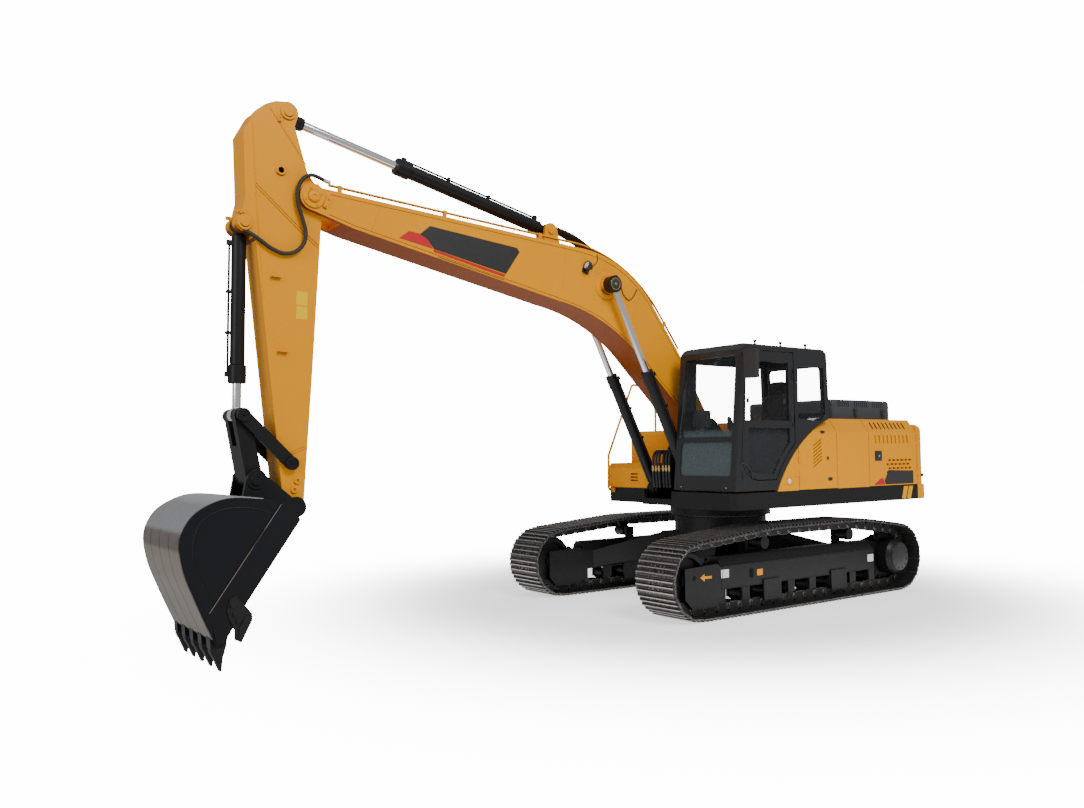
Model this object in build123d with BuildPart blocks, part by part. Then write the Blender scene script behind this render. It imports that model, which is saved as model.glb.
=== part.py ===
from build123d import *
from math import acos, atan2, cos, degrees, hypot, pi, radians, sin, tan
import os

# Crawler excavator of the 21 tonne class, in millimetres.
# +X points to the front, +Y to the left and +Z up; the origin is on the slew axis at ground level.

os.makedirs("parts", exist_ok=True)

# Clearances
run_gap = 0.3          # between faces that seat or run on each other
pin_gap = 5.0          # sideways gap beside an eye or a fork
panel_gap = 10.0       # gap all round a door or lid
door_lift = 6.0        # gap under a door or lid
overlap = 2.0          # how far a cutting tool passes a face

# Undercarriage
gauge = 2400.0         # between the track centres
shoe_width = 600.0
sprocket_x = -1750.0
idler_x = 1900.0
axle_z = 425.0         # height of the idler and sprocket axles
grouser_height = 24.0
shoe_plate = 12.0
link_height = 100.0
link_width = 42.0
link_spread = 62.0     # centre of each link strand from the track's centre
shoe_pitch = 190.0
link_turn = radians(8)    # each straight step of the links round a wheel
carrier_xs = (640.0, -960.0)
carrier_r = 72.0
carrier_z = 745.0
roller_r = 66.0
roller_count = 8
roller_first_x = -1330.0
roller_step = 392.0
frame_half_width = 125.0
frame_bottom_z = 290.0
frame_top_z = 528.0
frame_roof_z = 640.0
frame_plate = 30.0
tow_hole_r = 27.0
ring_r = 640.0         # slew ring, outside
ring_inner_r = 520.0
pedestal_top_z = 975.0
deck_bottom_z = 1100.0

# Upper structure
house_half_width = 1370.0
house_front_x = 1220.0
tail_r = 2880.0
lift_x = -2540.0
lift_y = 780.0
lift_hole_r = 25.0
lift_hole_rise = 40.0     # above the counterweight's top
lift_lug_r = 60.0
lift_lug_t = 50.0
skirt_bottom_z = 1135.0
deck_z = 1327.0
body_top_z = 2188.0
body_chamfer_z = 2021.0
body_chamfer_in = 120.0
panel_t = 40.0

# Cab
cab_inner_y = 402.0
cab_rear_x = -500.0
cab_floor_z = 1345.0
cab_top_z = 3030.0
cab_wall = 50.0
cab_post = 85.0
glass_t = 8.0

# Working gear
boom_foot = (400.0, 2069.0)
boom_chord_deg = 22.5
boom_length = 5700.0
boom_half_width = 215.0
arm_chord_deg = -86.99
arm_length = 2920.0
arm_half_width = 150.0
bucket_half_width = 575.0


def side(y):
    """Plane that stands along the machine at height y, with X and Z as its own axes."""
    return Plane.XZ.offset(-y)


def member_plane(origin, degrees_up, y=0.0):
    """Side plane whose own X axis runs along a member that leans at the given angle."""
    a = radians(degrees_up)
    return Plane(origin=(origin[0], y, origin[1]), x_dir=(cos(a), 0, sin(a)), z_dir=(0, -1, 0))


def along(origin, degrees_up, u, v):
    """Place in X and Z of a point given in a member's own axes."""
    a = radians(degrees_up)
    return (origin[0] + u * cos(a) - v * sin(a), origin[1] + u * sin(a) + v * cos(a))


def heading(a, b):
    """Angle in degrees and distance from one point to another."""
    return degrees(atan2(b[1] - a[1], b[0] - a[0])), hypot(b[0] - a[0], b[1] - a[1])


def tube_axis(foot, a, y, lift):
    """Line at a height lift above the axis of a member that rises at the angle a from its foot."""
    return Axis((foot[0] - lift * sin(a), y, foot[1] + lift * cos(a)), (cos(a), 0, sin(a)))


def keep(part, label):
    """Label a finished piece and write it out."""
    part.label = label
    export_step(part, f"parts/{label}.step")


boom_tip = along(boom_foot, boom_chord_deg, boom_length, 0)
arm_tip = along(boom_tip, arm_chord_deg, arm_length, 0)

# Track path: a belt round the sprocket, the idler and the two carrier rollers

wheel_r = axle_z - link_height - shoe_plate - grouser_height
wheels = [
    ((sprocket_x, axle_z), wheel_r),
    ((idler_x, axle_z), wheel_r),
    ((carrier_xs[0], carrier_z), carrier_r),
    ((carrier_xs[1], carrier_z), carrier_r),
]


def belt_runs(off):
    """Straights and arcs, in order, of the belt at a distance off outside the wheels."""
    normals = []
    for i, (c0, r0) in enumerate(wheels):
        c1, r1 = wheels[(i + 1) % len(wheels)]
        span = hypot(c1[0] - c0[0], c1[1] - c0[1])
        normals.append(atan2(c1[1] - c0[1], c1[0] - c0[0]) - acos((r0 - r1) / span))
    runs = []
    for i, (c0, r0) in enumerate(wheels):
        j = (i + 1) % len(wheels)
        c1, r1 = wheels[j]
        a = normals[i]
        b = normals[j]
        while b < a:
            b += 2 * pi
        p = (c0[0] + (r0 + off) * cos(a), c0[1] + (r0 + off) * sin(a))
        q = (c1[0] + (r1 + off) * cos(a), c1[1] + (r1 + off) * sin(a))
        runs.append(("line", p, q, a, hypot(q[0] - p[0], q[1] - p[1])))
        runs.append(("arc", c1, r1 + off, a, b, (r1 + off) * (b - a)))
    return runs


def belt_point(runs, s, rise):
    """Point at length s along the belt, rise outside it."""
    for run in runs:
        if s <= run[-1]:
            break
        s -= run[-1]
    if run[0] == "line":
        t = s / run[-1]
        p, q, a = run[1:4]
        return (
            p[0] + t * (q[0] - p[0]) + rise * cos(a),
            p[1] + t * (q[1] - p[1]) + rise * sin(a),
        )
    c, r, a = run[1:4]
    a += s / r
    return (c[0] + (r + rise) * cos(a), c[1] + (r + rise) * sin(a))


def belt_loop(off):
    """Closed loop of straight steps just outside the belt at a distance off from the wheels."""
    points = []
    for run in belt_runs(off):
        if run[0] == "line":
            points.append(run[1])
            points.append(run[2])
        else:
            c, r, a, b = run[1:5]
            steps = max(2, round((b - a) / link_turn))
            out = r / cos((b - a) / steps / 2)
            for k in range(steps):
                turn = a + (k + 0.5) * (b - a) / steps
                points.append((c[0] + out * cos(turn), c[1] + out * sin(turn)))
    with BuildLine() as belt:
        Polyline(*points, close=True)
    return belt.edges()


shoe_runs = belt_runs(link_height + shoe_plate)
shoe_count = round(sum(run[-1] for run in shoe_runs) / shoe_pitch)
shoe_step = sum(run[-1] for run in shoe_runs) / shoe_count
grouser_places = (0.14, 0.46, 0.78)    # along one shoe
grouser_foot = 20.0                    # half width of a grouser at its foot
shoe_outline = []
for k in range(shoe_count):
    for place in grouser_places:
        middle = (k + place) * shoe_step
        shoe_outline.append(belt_point(shoe_runs, middle - grouser_foot, 0))
        shoe_outline.append(belt_point(shoe_runs, middle, grouser_height))
        shoe_outline.append(belt_point(shoe_runs, middle + grouser_foot, 0))

hands = (("left", 1), ("right", -1))

# Tracks: a loop of shoes with two strands of links inside it

for hand, sign in hands:
    y = sign * gauge / 2
    with BuildPart() as track:
        with BuildSketch(side(y)):
            with BuildLine():
                Polyline(*shoe_outline, close=True)
            make_face()
            make_face(belt_loop(link_height), mode=Mode.SUBTRACT)
        extrude(amount=shoe_width / 2, both=True)
        for strand in (-link_spread, link_spread):
            with BuildSketch(side(y + strand)):
                make_face(belt_loop(link_height + shoe_plate / 2))
                make_face(belt_loop(0), mode=Mode.SUBTRACT)
            extrude(amount=link_width / 2, both=True)
    keep(track.part, f"track_{hand}")

# Idlers: a rim that runs on the links, a flange between them and a shaft into the frame

idler_flange = 26.0
idler_hub_r = 95.0
flange_half = link_spread - link_width / 2 - pin_gap
rim_half = link_spread + link_width / 2
fork_inner = frame_half_width - frame_plate

with BuildPart() as idlers:
    for hand, sign in hands:
        with BuildSketch(Plane.XY.move(Location((idler_x, sign * gauge / 2, axle_z)))):
            with BuildLine():
                Polyline(
                    (0, -fork_inner + run_gap),
                    (idler_hub_r, -fork_inner + run_gap),
                    (idler_hub_r, -rim_half * 0.6),
                    (wheel_r - 60, -rim_half * 0.45),
                    (wheel_r - 45, -rim_half),
                    (wheel_r - run_gap, -rim_half),
                    (wheel_r - run_gap, -flange_half),
                    (wheel_r + idler_flange, -flange_half + 8),
                    (wheel_r + idler_flange, flange_half - 8),
                    (wheel_r - run_gap, flange_half),
                    (wheel_r - run_gap, rim_half),
                    (wheel_r - 45, rim_half),
                    (wheel_r - 60, rim_half * 0.45),
                    (idler_hub_r, rim_half * 0.6),
                    (idler_hub_r, fork_inner - run_gap),
                    (0, fork_inner - run_gap),
                    close=True,
                )
            make_face()
        revolve(axis=Axis((idler_x, sign * gauge / 2, axle_z), (0, 1, 0)))
keep(idlers.part, "idlers")

# Final drives: toothed sprocket, hub with its round cover and the motor behind it

tooth_count = 21
tooth_root = wheel_r - 8.0
tooth_rise = 62.0
hub_r = 222.0
hub_out = 262.0       # cover's face from the track's centre
drive_plate_y = 60.0  # where the hub flange meets the frame, inboard of the track's centre

with BuildPart() as final_drives:
    for hand, sign in hands:
        with BuildSketch(side(sign * gauge / 2)):
            with BuildLine():
                points = []
                for k in range(tooth_count):
                    for part_turn, rise in ((-0.32, 0), (-0.10, tooth_rise), (0.10, tooth_rise), (0.32, 0)):
                        a = (k + part_turn) * 2 * pi / tooth_count
                        reach = tooth_root + rise
                        points.append((sprocket_x + reach * cos(a), axle_z + reach * sin(a)))
                Polyline(*points, close=True)
            make_face()
        extrude(amount=flange_half - 4, both=True)
        with BuildSketch(Plane.XY.move(Location((sprocket_x, sign * gauge / 2, axle_z)))):
            with BuildLine():
                Polyline(
                    (0, sign * (run_gap - drive_plate_y)),
                    (hub_r, sign * (run_gap - drive_plate_y)),
                    (hub_r, sign * (hub_out - 60)),
                    (hub_r - 25, sign * (hub_out - 30)),
                    (hub_r - 60, sign * hub_out),
                    (0, sign * hub_out),
                    close=True,
                )
            make_face()
        revolve(axis=Axis((sprocket_x, sign * gauge / 2, axle_z), (0, 1, 0)))
keep(final_drives.part, "final_drives")

# Rollers: those under each side frame and the two that carry the upper run

link_face_z = axle_z - wheel_r            # top of the lower run of links
roller_z = link_face_z + roller_r
roller_half = 90.0
roller_flange = 12.0
roller_shaft_r = 30.0
carrier_shaft = 118.0        # inboard end of a carrier roller's shaft from the track's centre
carrier_post_t = 40.0


def roller_profile(r, half):
    """Half section of a roller: two treads with outer flanges and a shaft end each side."""
    return (
        (0, -fork_inner + run_gap),
        (roller_shaft_r, -fork_inner + run_gap),
        (roller_shaft_r, -half),
        (r + roller_flange, -half),
        (r + roller_flange, -rim_half - 2),
        (r - run_gap, -rim_half - 2),
        (r - run_gap, rim_half + 2),
        (r + roller_flange, rim_half + 2),
        (r + roller_flange, half),
        (roller_shaft_r, half),
        (roller_shaft_r, fork_inner - run_gap),
        (0, fork_inner - run_gap),
    )


with BuildPart() as rollers:
    for hand, sign in hands:
        y = sign * gauge / 2
        for k in range(roller_count):
            x = roller_first_x + k * roller_step
            with BuildSketch(Plane.XY.move(Location((x, y, roller_z)))):
                with BuildLine():
                    Polyline(*roller_profile(roller_r, roller_half), close=True)
                make_face()
            revolve(axis=Axis((x, y, roller_z), (0, 1, 0)))
        for x in carrier_xs:
            with BuildSketch(Plane.XY.move(Location((x, y, carrier_z)))):
                with BuildLine():
                    Polyline(
                        (0, -sign * carrier_shaft),
                        (roller_shaft_r, -sign * carrier_shaft),
                        (roller_shaft_r, -sign * rim_half),
                        (carrier_r - run_gap, -sign * rim_half),
                        (carrier_r - run_gap, sign * rim_half),
                        (0, sign * rim_half),
                        close=True,
                    )
                make_face()
            revolve(axis=Axis((x, y, carrier_z), (0, 1, 0)))
keep(rollers.part, "rollers")

# Side frames: a roofed box, the idler fork with its guards, roller brackets and the drive plate

frame_rear_x = sprocket_x + 365.0
frame_front_x = idler_x - 480.0
fork_end_x = idler_x + 75.0
guard_bottom_z = 112.0
guard_top_z = 572.0
bracket_z = roller_z - roller_shaft_r - 18.0
track_guard_xs = (590.0, -640.0)

for hand, sign in hands:
    y = sign * gauge / 2
    with BuildPart() as frame:
        with BuildSketch(Plane.YZ.offset(frame_rear_x)):
            with BuildLine():
                Polyline(
                    (y - frame_half_width, frame_bottom_z),
                    (y + frame_half_width, frame_bottom_z),
                    (y + frame_half_width, frame_top_z),
                    (y + frame_half_width * 0.45, frame_roof_z),
                    (y - frame_half_width * 0.45, frame_roof_z),
                    (y - frame_half_width, frame_top_z),
                    close=True,
                )
            make_face()
        extrude(amount=frame_front_x - frame_rear_x)
        # Fork plates each side of the idler, with a guard on the outer faces
        for s in (-1, 1):
            with BuildSketch(side(y + s * (fork_inner + frame_plate / 2))):
                with BuildLine():
                    Polyline(
                        (frame_front_x - overlap, frame_bottom_z),
                        (frame_front_x + 60, guard_bottom_z),
                        (fork_end_x - 110, guard_bottom_z),
                        (fork_end_x, guard_bottom_z + 110),
                        (fork_end_x, guard_top_z - 20),
                        (frame_front_x + 60, guard_top_z),
                        (frame_front_x - overlap, frame_top_z),
                        close=True,
                    )
                make_face()
            extrude(amount=frame_plate / 2, both=True)
            with Locations(
                *[(x, y + s * (fork_inner + frame_plate / 2), (bracket_z + frame_bottom_z) / 2)
                  for x in [roller_first_x + k * roller_step for k in range(roller_count)]]
            ):
                Box(120, frame_plate - 2, frame_bottom_z - bracket_z + 2 * overlap)
        # Plates that keep the chain on the rollers
        for x in track_guard_xs:
            for s in (-1, 1):
                with Locations((x, y + s * (frame_half_width + 8), (frame_bottom_z + guard_bottom_z) / 2 + 20)):
                    Box(300, 20, frame_bottom_z - guard_bottom_z + 60)
        # Posts of the carrier rollers
        for x in carrier_xs:
            post_y = y - sign * (carrier_shaft + run_gap + carrier_post_t / 2)
            with Locations((x, post_y, (frame_roof_z - 50 + carrier_z + 50) / 2)):
                Box(130, carrier_post_t, carrier_z + 100 - frame_roof_z)
            with Locations((x, y - sign * 80, frame_roof_z - 20)):
                Box(130, 150, 60)
        # Drive plate round the final drive's flange
        with BuildSketch(side(y - sign * drive_plate_y)):
            with BuildLine():
                l1 = Line((frame_rear_x + 5, frame_bottom_z), (sprocket_x, axle_z - wheel_r + 18))
                l2 = ThreePointArc(l1 @ 1, (sprocket_x - wheel_r + 18, axle_z), (sprocket_x, axle_z + wheel_r - 18))
                l3 = Line(l2 @ 1, (frame_rear_x + 120, frame_roof_z - 40))
                Line(l3 @ 1, l1 @ 0)
            make_face()
        extrude(amount=sign * 40)
    keep(frame.part, f"side_frame_{hand}")

# Car body: a box under the slew ring on four legs that run out to the side frames

box_half_x = 560.0
box_half_y = 520.0
leg_bottom_z = 470.0
tow_lug_z = leg_bottom_z + 30
tow_lug_t = 60.0
tow_lug_r = 62.0
tow_lug_reach = 50.0
leg_top_z = 770.0
leg_end_bottom_z = 300.0
leg_end_top_z = 520.0
leg_end_x = 1050.0
leg_end_width = 430.0
pedestal_r = 585.0
leg_reach = gauge / 2 - frame_half_width

with BuildPart() as car_body:
    with BuildSketch(Plane.XY.offset(leg_bottom_z)):
        Rectangle(2 * box_half_x, 2 * box_half_y)
    extrude(amount=leg_top_z - leg_bottom_z)
    for sx in (-1, 1):
        for sy in (-1, 1):
            with BuildSketch(side(sy * (box_half_y - 60))):
                with Locations((sx * 370, (leg_bottom_z + leg_top_z) / 2)):
                    Rectangle(380, leg_top_z - leg_bottom_z)
            with BuildSketch(side(sy * leg_reach)):
                with Locations((sx * leg_end_x, (leg_end_bottom_z + leg_end_top_z) / 2)):
                    Rectangle(leg_end_width, leg_end_top_z - leg_end_bottom_z)
            loft()
    with BuildSketch(Plane.XY.offset(leg_top_z - overlap)):
        Circle(pedestal_r)
    extrude(amount=pedestal_top_z - leg_top_z + overlap)
    # Towing lugs low on the box, fore and aft: flat, bored upright
    for sx in (-1, 1):
        with BuildSketch(Plane.XY.offset(tow_lug_z)):
            with Locations((sx * (box_half_x + tow_lug_reach / 2 - overlap), 0)):
                Rectangle(tow_lug_reach, 2 * tow_lug_r)
            with Locations((sx * (box_half_x + tow_lug_reach - overlap), 0)):
                Circle(tow_lug_r)
            with Locations((sx * (box_half_x + tow_lug_reach), 0)):
                Circle(tow_hole_r, mode=Mode.SUBTRACT)
        extrude(amount=tow_lug_t)
keep(car_body.part, "car_body")

# Slew ring: toothed inner race on the car body, outer race under the deck

race_top_z = deck_bottom_z - 15.0
with BuildPart() as inner_race:
    with BuildSketch(Plane.XY.offset(pedestal_top_z)):
        Circle(ring_inner_r)
        Circle(ring_inner_r - 70, mode=Mode.SUBTRACT)
    extrude(amount=race_top_z - pedestal_top_z)
keep(inner_race.part, "slew_ring_inner")

with BuildPart() as outer_race:
    with BuildSketch(Plane.XY.offset(pedestal_top_z + 20)):
        Circle(ring_r)
        Circle(ring_inner_r + run_gap, mode=Mode.SUBTRACT)
    extrude(amount=deck_bottom_z - pedestal_top_z - 20)
keep(outer_race.part, "slew_ring_outer")

# Deck: a tray with side skirts, and the brackets of the boom and its cylinders

deck_rear_x = -2350.0
deck_corner_r = 90.0
centre_front_x = 960.0        # front edge between the cab and the tool box
right_front_x = 745.0
cab_side_y = cab_inner_y - 8.0
box_side_y = -430.0
skirt_t = 30.0
deck_plate = 14.0
bracket_t = 28.0
boom_foot_r = 150.0
foot_pin_r = 55.0
cylinder_foot = (829.0, 1338.0)
cylinder_y = 322.0
cylinder_pin_r = 45.0
outer_ear_t = 18.0
eye_width = 96.0
eye_r = 85.0
bracket_foot_x = -500.0       # rear end of the bracket plates on the deck
bracket_in = boom_half_width + pin_gap
well_z = 1215.0               # deck between the brackets, under the cylinders

deck_corners = (
    (deck_rear_x, house_half_width),
    (house_front_x + 30, house_half_width),
    (house_front_x + 30, cab_side_y),
    (centre_front_x, cab_side_y),
    (centre_front_x, box_side_y),
    (right_front_x, box_side_y),
    (right_front_x, -house_half_width),
    (deck_rear_x, -house_half_width),
)

with BuildPart() as deck:
    with BuildSketch(Plane.XY.offset(skirt_bottom_z)) as deck_plan:
        with BuildLine():
            Polyline(*deck_corners, close=True)
        make_face()
        rounded = [v for v in deck_plan.vertices() if v.X > 0 and abs(v.Y) > house_half_width - 1]
        fillet(rounded, deck_corner_r)
    extrude(amount=deck_z - skirt_bottom_z)
    with BuildSketch(Plane.XY.offset(skirt_bottom_z + deck_plate)):
        make_face(offset(deck_plan.face().outer_wire(), -skirt_t, mode=Mode.PRIVATE).edges())
    extrude(amount=deck_z - skirt_bottom_z - 2 * deck_plate, mode=Mode.SUBTRACT)
    # Open well in front, where the boom cylinders swing down between their ears
    ear_out = cylinder_y + eye_width / 2 + pin_gap
    with BuildSketch(Plane.XY.offset(well_z)):
        with Locations(((cylinder_foot[0] + centre_front_x) / 2, 0)):
            Rectangle(centre_front_x - cylinder_foot[0] + 300, 2 * (ear_out + outer_ear_t) + 1)
    extrude(amount=deck_z - well_z + overlap, mode=Mode.SUBTRACT)
    with BuildSketch(Plane.XY.offset(skirt_bottom_z)):
        with Locations((cylinder_foot[0] - 60, 0)):
            Rectangle(2 * (centre_front_x - cylinder_foot[0]) + 120, 2 * (ear_out + outer_ear_t))
    extrude(amount=well_z - skirt_bottom_z)
    # Bottom plate that the slew ring bolts to
    with BuildSketch(Plane.XY.offset(deck_bottom_z)):
        Circle(ring_r + 40)
    extrude(amount=skirt_bottom_z - deck_bottom_z + overlap)
    for s in (-1, 1):
        # Bracket plate from the boom foot to the cylinder foot
        with BuildSketch(side(s * (bracket_in + bracket_t / 2))):
            with Locations(boom_foot):
                Circle(boom_foot_r)
            with Locations(cylinder_foot):
                Circle(eye_r)
            with Locations(((bracket_foot_x + cylinder_foot[0]) / 2, deck_z - 10)):
                Rectangle(cylinder_foot[0] - bracket_foot_x, 20)
            make_hull()
        extrude(amount=bracket_t / 2, both=True)
        # Outer ear of the cylinder foot
        with BuildSketch(side(s * (ear_out + outer_ear_t / 2))):
            with Locations(cylinder_foot):
                Circle(eye_r)
            with Locations((cylinder_foot[0], well_z + 10)):
                Rectangle(3 * eye_r, 20)
            make_hull()
        extrude(amount=outer_ear_t / 2, both=True)
        # Cylinder foot pin
        with BuildSketch(side(s * (ear_out + outer_ear_t))):
            with Locations(cylinder_foot):
                Circle(cylinder_pin_r)
        extrude(amount=s * (ear_out + outer_ear_t - bracket_in))
    # Boom foot pin through both plates
    with BuildSketch(side(0)):
        with Locations(boom_foot):
            Circle(foot_pin_r)
    extrude(amount=bracket_in + bracket_t + 12, both=True)
keep(deck.part, "deck")

# Hinges of the doors: each half is a knuckle on the hinge line with its leaf on the skin

hinge_r = 9.0
hinge_out = 10.0              # hinge line from the skin of the body sides
hinge_height = 60.0
hinge_leaf = 40.0


def hinge_half(x, z, toward, out):
    """Half of an upright hinge: its leaf lies toward +1 or -1 along X, on the side out."""
    with BuildPart() as half:
        with Locations((x, out * (house_half_width + hinge_out), z + hinge_height / 2)):
            Cylinder(hinge_r, hinge_height)
        with Locations((x + toward * hinge_leaf / 2, out * (house_half_width + 0.5), z + hinge_height / 2)):
            Box(hinge_leaf, 9, hinge_height)
    return half.part


rear_hinge_x = deck_rear_x + (panel_gap - run_gap) / 2
rear_hinge_zs = (1450.0, 1850.0)
front_hinge_zs = (1420.0, 1650.0)
cab_hinge_zs = (2080.0, 2640.0)
upper_half = hinge_height + run_gap      # how far the fixed half stands above the door's half

# Counterweight: cast to the tail radius, wider at the foot, rounded over the top

weight_front_x = deck_rear_x - run_gap
weight_top_z = 2130.0
weight_step = 45.0            # how far the foot stands out

with BuildPart() as counterweight:
    for r, z0, z1 in ((tail_r, skirt_bottom_z, deck_z), (tail_r - weight_step, deck_z, weight_top_z)):
        with BuildSketch(Plane.XY.offset(z0)) as plan:
            Circle(r)
            with Locations((weight_front_x - tail_r / 2, 0)):
                Rectangle(tail_r, 2 * house_half_width, mode=Mode.INTERSECT)
            tail_corners = plan.vertices().filter_by(lambda v: v.X < weight_front_x - 1)
            fillet(tail_corners, 90)
        extrude(amount=z1 - z0)
    top_edges = counterweight.faces().sort_by(Axis.Z)[-1].edges()
    fillet(top_edges.filter_by(lambda e: e.center().X < weight_front_x - 1), 95)
    # Lifting eyes: a bored lug stands on each side of the top
    for s in (-1, 1):
        with BuildSketch(side(s * lift_y)):
            with Locations((lift_x, weight_top_z)):
                Rectangle(2 * lift_lug_r, 2 * lift_hole_rise)
            with Locations((lift_x, weight_top_z + lift_hole_rise)):
                Circle(lift_lug_r)
                Circle(lift_hole_r, mode=Mode.SUBTRACT)
        extrude(amount=lift_lug_t / 2, both=True)
        for z in rear_hinge_zs:
            add(hinge_half(rear_hinge_x, z + upper_half, -1, s))
keep(counterweight.part, "counterweight")

# Body sides: a fixed corner behind the cab, two doors and a fixed panel on each side

arc_start = (492.0, deck_z)
arc_middle = (134.0, 1804.0)
arc_end = (-548.0, body_top_z)
seam_xs = (105.0, -630.0, -1287.0)
body_rear_x = deck_rear_x + panel_gap
slot_count = 9
louvre_count = 7
cover_in_y = house_half_width - body_chamfer_in
tank_front_x = 300.0
tank_rear_x = -400.0


def body_panel(x0, x1, sign, lift):
    """Upright side panel from x0 back to x1 with the chamfer along its top."""
    t = panel_t
    foot_z = deck_z + lift
    with BuildPart() as panel:
        with BuildSketch(Plane.YZ.offset(x1)):
            with BuildLine():
                Polyline(
                    (sign * house_half_width, foot_z),
                    (sign * house_half_width, body_chamfer_z),
                    (sign * cover_in_y, body_top_z),
                    (sign * (cover_in_y - t), body_top_z),
                    (sign * (house_half_width - t), body_chamfer_z - t * 0.3),
                    (sign * (house_half_width - t), foot_z),
                    close=True,
                )
            make_face()
        extrude(amount=x0 - x1)
    return panel.part


def cab_side_tool(grow):
    """Everything in front of the curved edge of the body sides, grown by a gap."""
    with BuildPart() as tool:
        with BuildSketch(side(0)):
            with BuildLine():
                l1 = ThreePointArc(arc_start, arc_middle, arc_end)
                l2 = Line(l1 @ 1, (arc_end[0], cab_top_z + 600))
                l3 = Line(l2 @ 1, (house_front_x + 600, cab_top_z + 600))
                l4 = Line(l3 @ 1, (house_front_x + 600, arc_start[1] - 200))
                l5 = Line(l4 @ 1, (arc_start[0], arc_start[1] - 200))
                Line(l5 @ 1, l1 @ 0)
            make_face()
            if grow:
                offset(amount=grow, mode=Mode.REPLACE)
        extrude(amount=house_half_width + 50, both=True)
    return tool.part


curve_tool = cab_side_tool(0)

with BuildPart() as corner_panel:
    add(body_panel(arc_start[0], seam_xs[0] + panel_gap / 2, 1, run_gap))
    add(curve_tool, mode=Mode.SUBTRACT)
    for z in front_hinge_zs:
        add(hinge_half(seam_xs[0], z + upper_half, 1, 1))
keep(corner_panel.part, "corner_panel_left")

with BuildPart() as front_door:
    add(body_panel(seam_xs[0] - panel_gap / 2, seam_xs[1] + panel_gap / 2, 1, door_lift))
    add(curve_tool, mode=Mode.SUBTRACT)
    # Slanted louvres cut through the skin
    with BuildSketch(side(house_half_width + overlap)):
        for k in range(louvre_count):
            with Locations((-250, 1640 + k * 42)):
                SlotOverall(190, 14, rotation=-28)
    extrude(amount=panel_t + 2 * overlap, mode=Mode.SUBTRACT)
    for z in front_hinge_zs:
        add(hinge_half(seam_xs[0], z, -1, 1))
keep(front_door.part, "front_door_left")

with BuildPart() as middle_panels:
    add(body_panel(seam_xs[1] - panel_gap / 2, seam_xs[2] + panel_gap / 2, 1, run_gap))
    add(body_panel(tank_rear_x - run_gap, seam_xs[2] + panel_gap / 2, -1, run_gap))
keep(middle_panels.part, "middle_panels")

for hand, sign in hands:
    with BuildPart() as rear_door:
        add(body_panel(seam_xs[2] - panel_gap / 2, body_rear_x, sign, door_lift))
        # Air slots below and on the chamfer, and the grid of the cooler
        with BuildSketch(side(sign * (house_half_width + overlap))):
            for k in range(slot_count):
                with Locations((-1430 - k * 88, 1925)):
                    SlotOverall(110, 26, rotation=82)
            for row in range(4):
                for k in range(6):
                    with Locations((-1690 - k * 90 - (row % 2) * 45, 1500 + row * 52)):
                        Rectangle(62, 26)
        extrude(amount=sign * (panel_t + 2 * overlap), mode=Mode.SUBTRACT)
        for z in rear_hinge_zs:
            add(hinge_half(rear_hinge_x, z, 1, sign))
    keep(rear_door.part, f"rear_door_{hand}")

# Top cover between the sides, with the opening under the hood

hood_front_x = -870.0
hood_rear_x = -2110.0
hood_left_y = 1150.0
hood_right_y = -250.0
hood_top_z = 2445.0
hood_t = 30.0
cover_t = 40.0
cover_front_x = arc_end[0]

# Hinges of the hood along its right edge, and its air slots

hood_slots = ((-980, 6), (-1330, 7), (-1720, 6))
hood_hinge_y = hood_right_y - 12.0
hood_hinge_z = body_top_z + 13.0
hood_hinge_xs = (-1150.0, -1800.0)


def hood_hinge_half(x, on_hood):
    """Half of a hinge along the hood's right edge, its leaf on the hood or on the cover."""
    with BuildPart() as half:
        with Locations((x, hood_hinge_y, hood_hinge_z)):
            Cylinder(hinge_r, hinge_height, rotation=(0, 90, 0))
        if on_hood:
            with Locations((x, hood_right_y - 3, hood_hinge_z + 20)):
                Box(hinge_height, 8, hinge_leaf)
        else:
            with Locations((x, hood_hinge_y - hinge_leaf / 2, body_top_z + 3)):
                Box(hinge_height, hinge_leaf, 8)
    return half.part



with BuildPart() as top_cover:
    with BuildSketch(Plane.XY.offset(body_top_z - cover_t)):
        with Locations(((cover_front_x + body_rear_x) / 2, 0)):
            Rectangle(cover_front_x - body_rear_x, 2 * (cover_in_y - panel_t - panel_gap))
        # Tabs out to the fixed panels
        with Locations(((seam_xs[1] + seam_xs[2]) / 2, 0)):
            Rectangle(seam_xs[1] - seam_xs[2] - 60, 2 * (cover_in_y - panel_t - run_gap))
        with Locations(((hood_front_x + hood_rear_x) / 2, (hood_left_y + hood_right_y) / 2)):
            Rectangle(
                hood_front_x - hood_rear_x - 2 * hood_t - 40,
                hood_left_y - hood_right_y - 2 * hood_t - 40,
                mode=Mode.SUBTRACT,
            )
    extrude(amount=cover_t)
    # Front wall of the engine bay, down to the deck
    with BuildSketch(Plane.YZ.offset(cover_front_x - cover_t)):
        with Locations((0, (deck_z + body_top_z) / 2)):
            Rectangle(2 * (house_half_width - panel_t - panel_gap - 130), body_top_z - deck_z - 2 * run_gap)
    extrude(amount=cover_t)
    for x in hood_hinge_xs:
        add(hood_hinge_half(x + upper_half, False))
keep(top_cover.part, "top_cover")

# Hood: a slotted box over the opening

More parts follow.
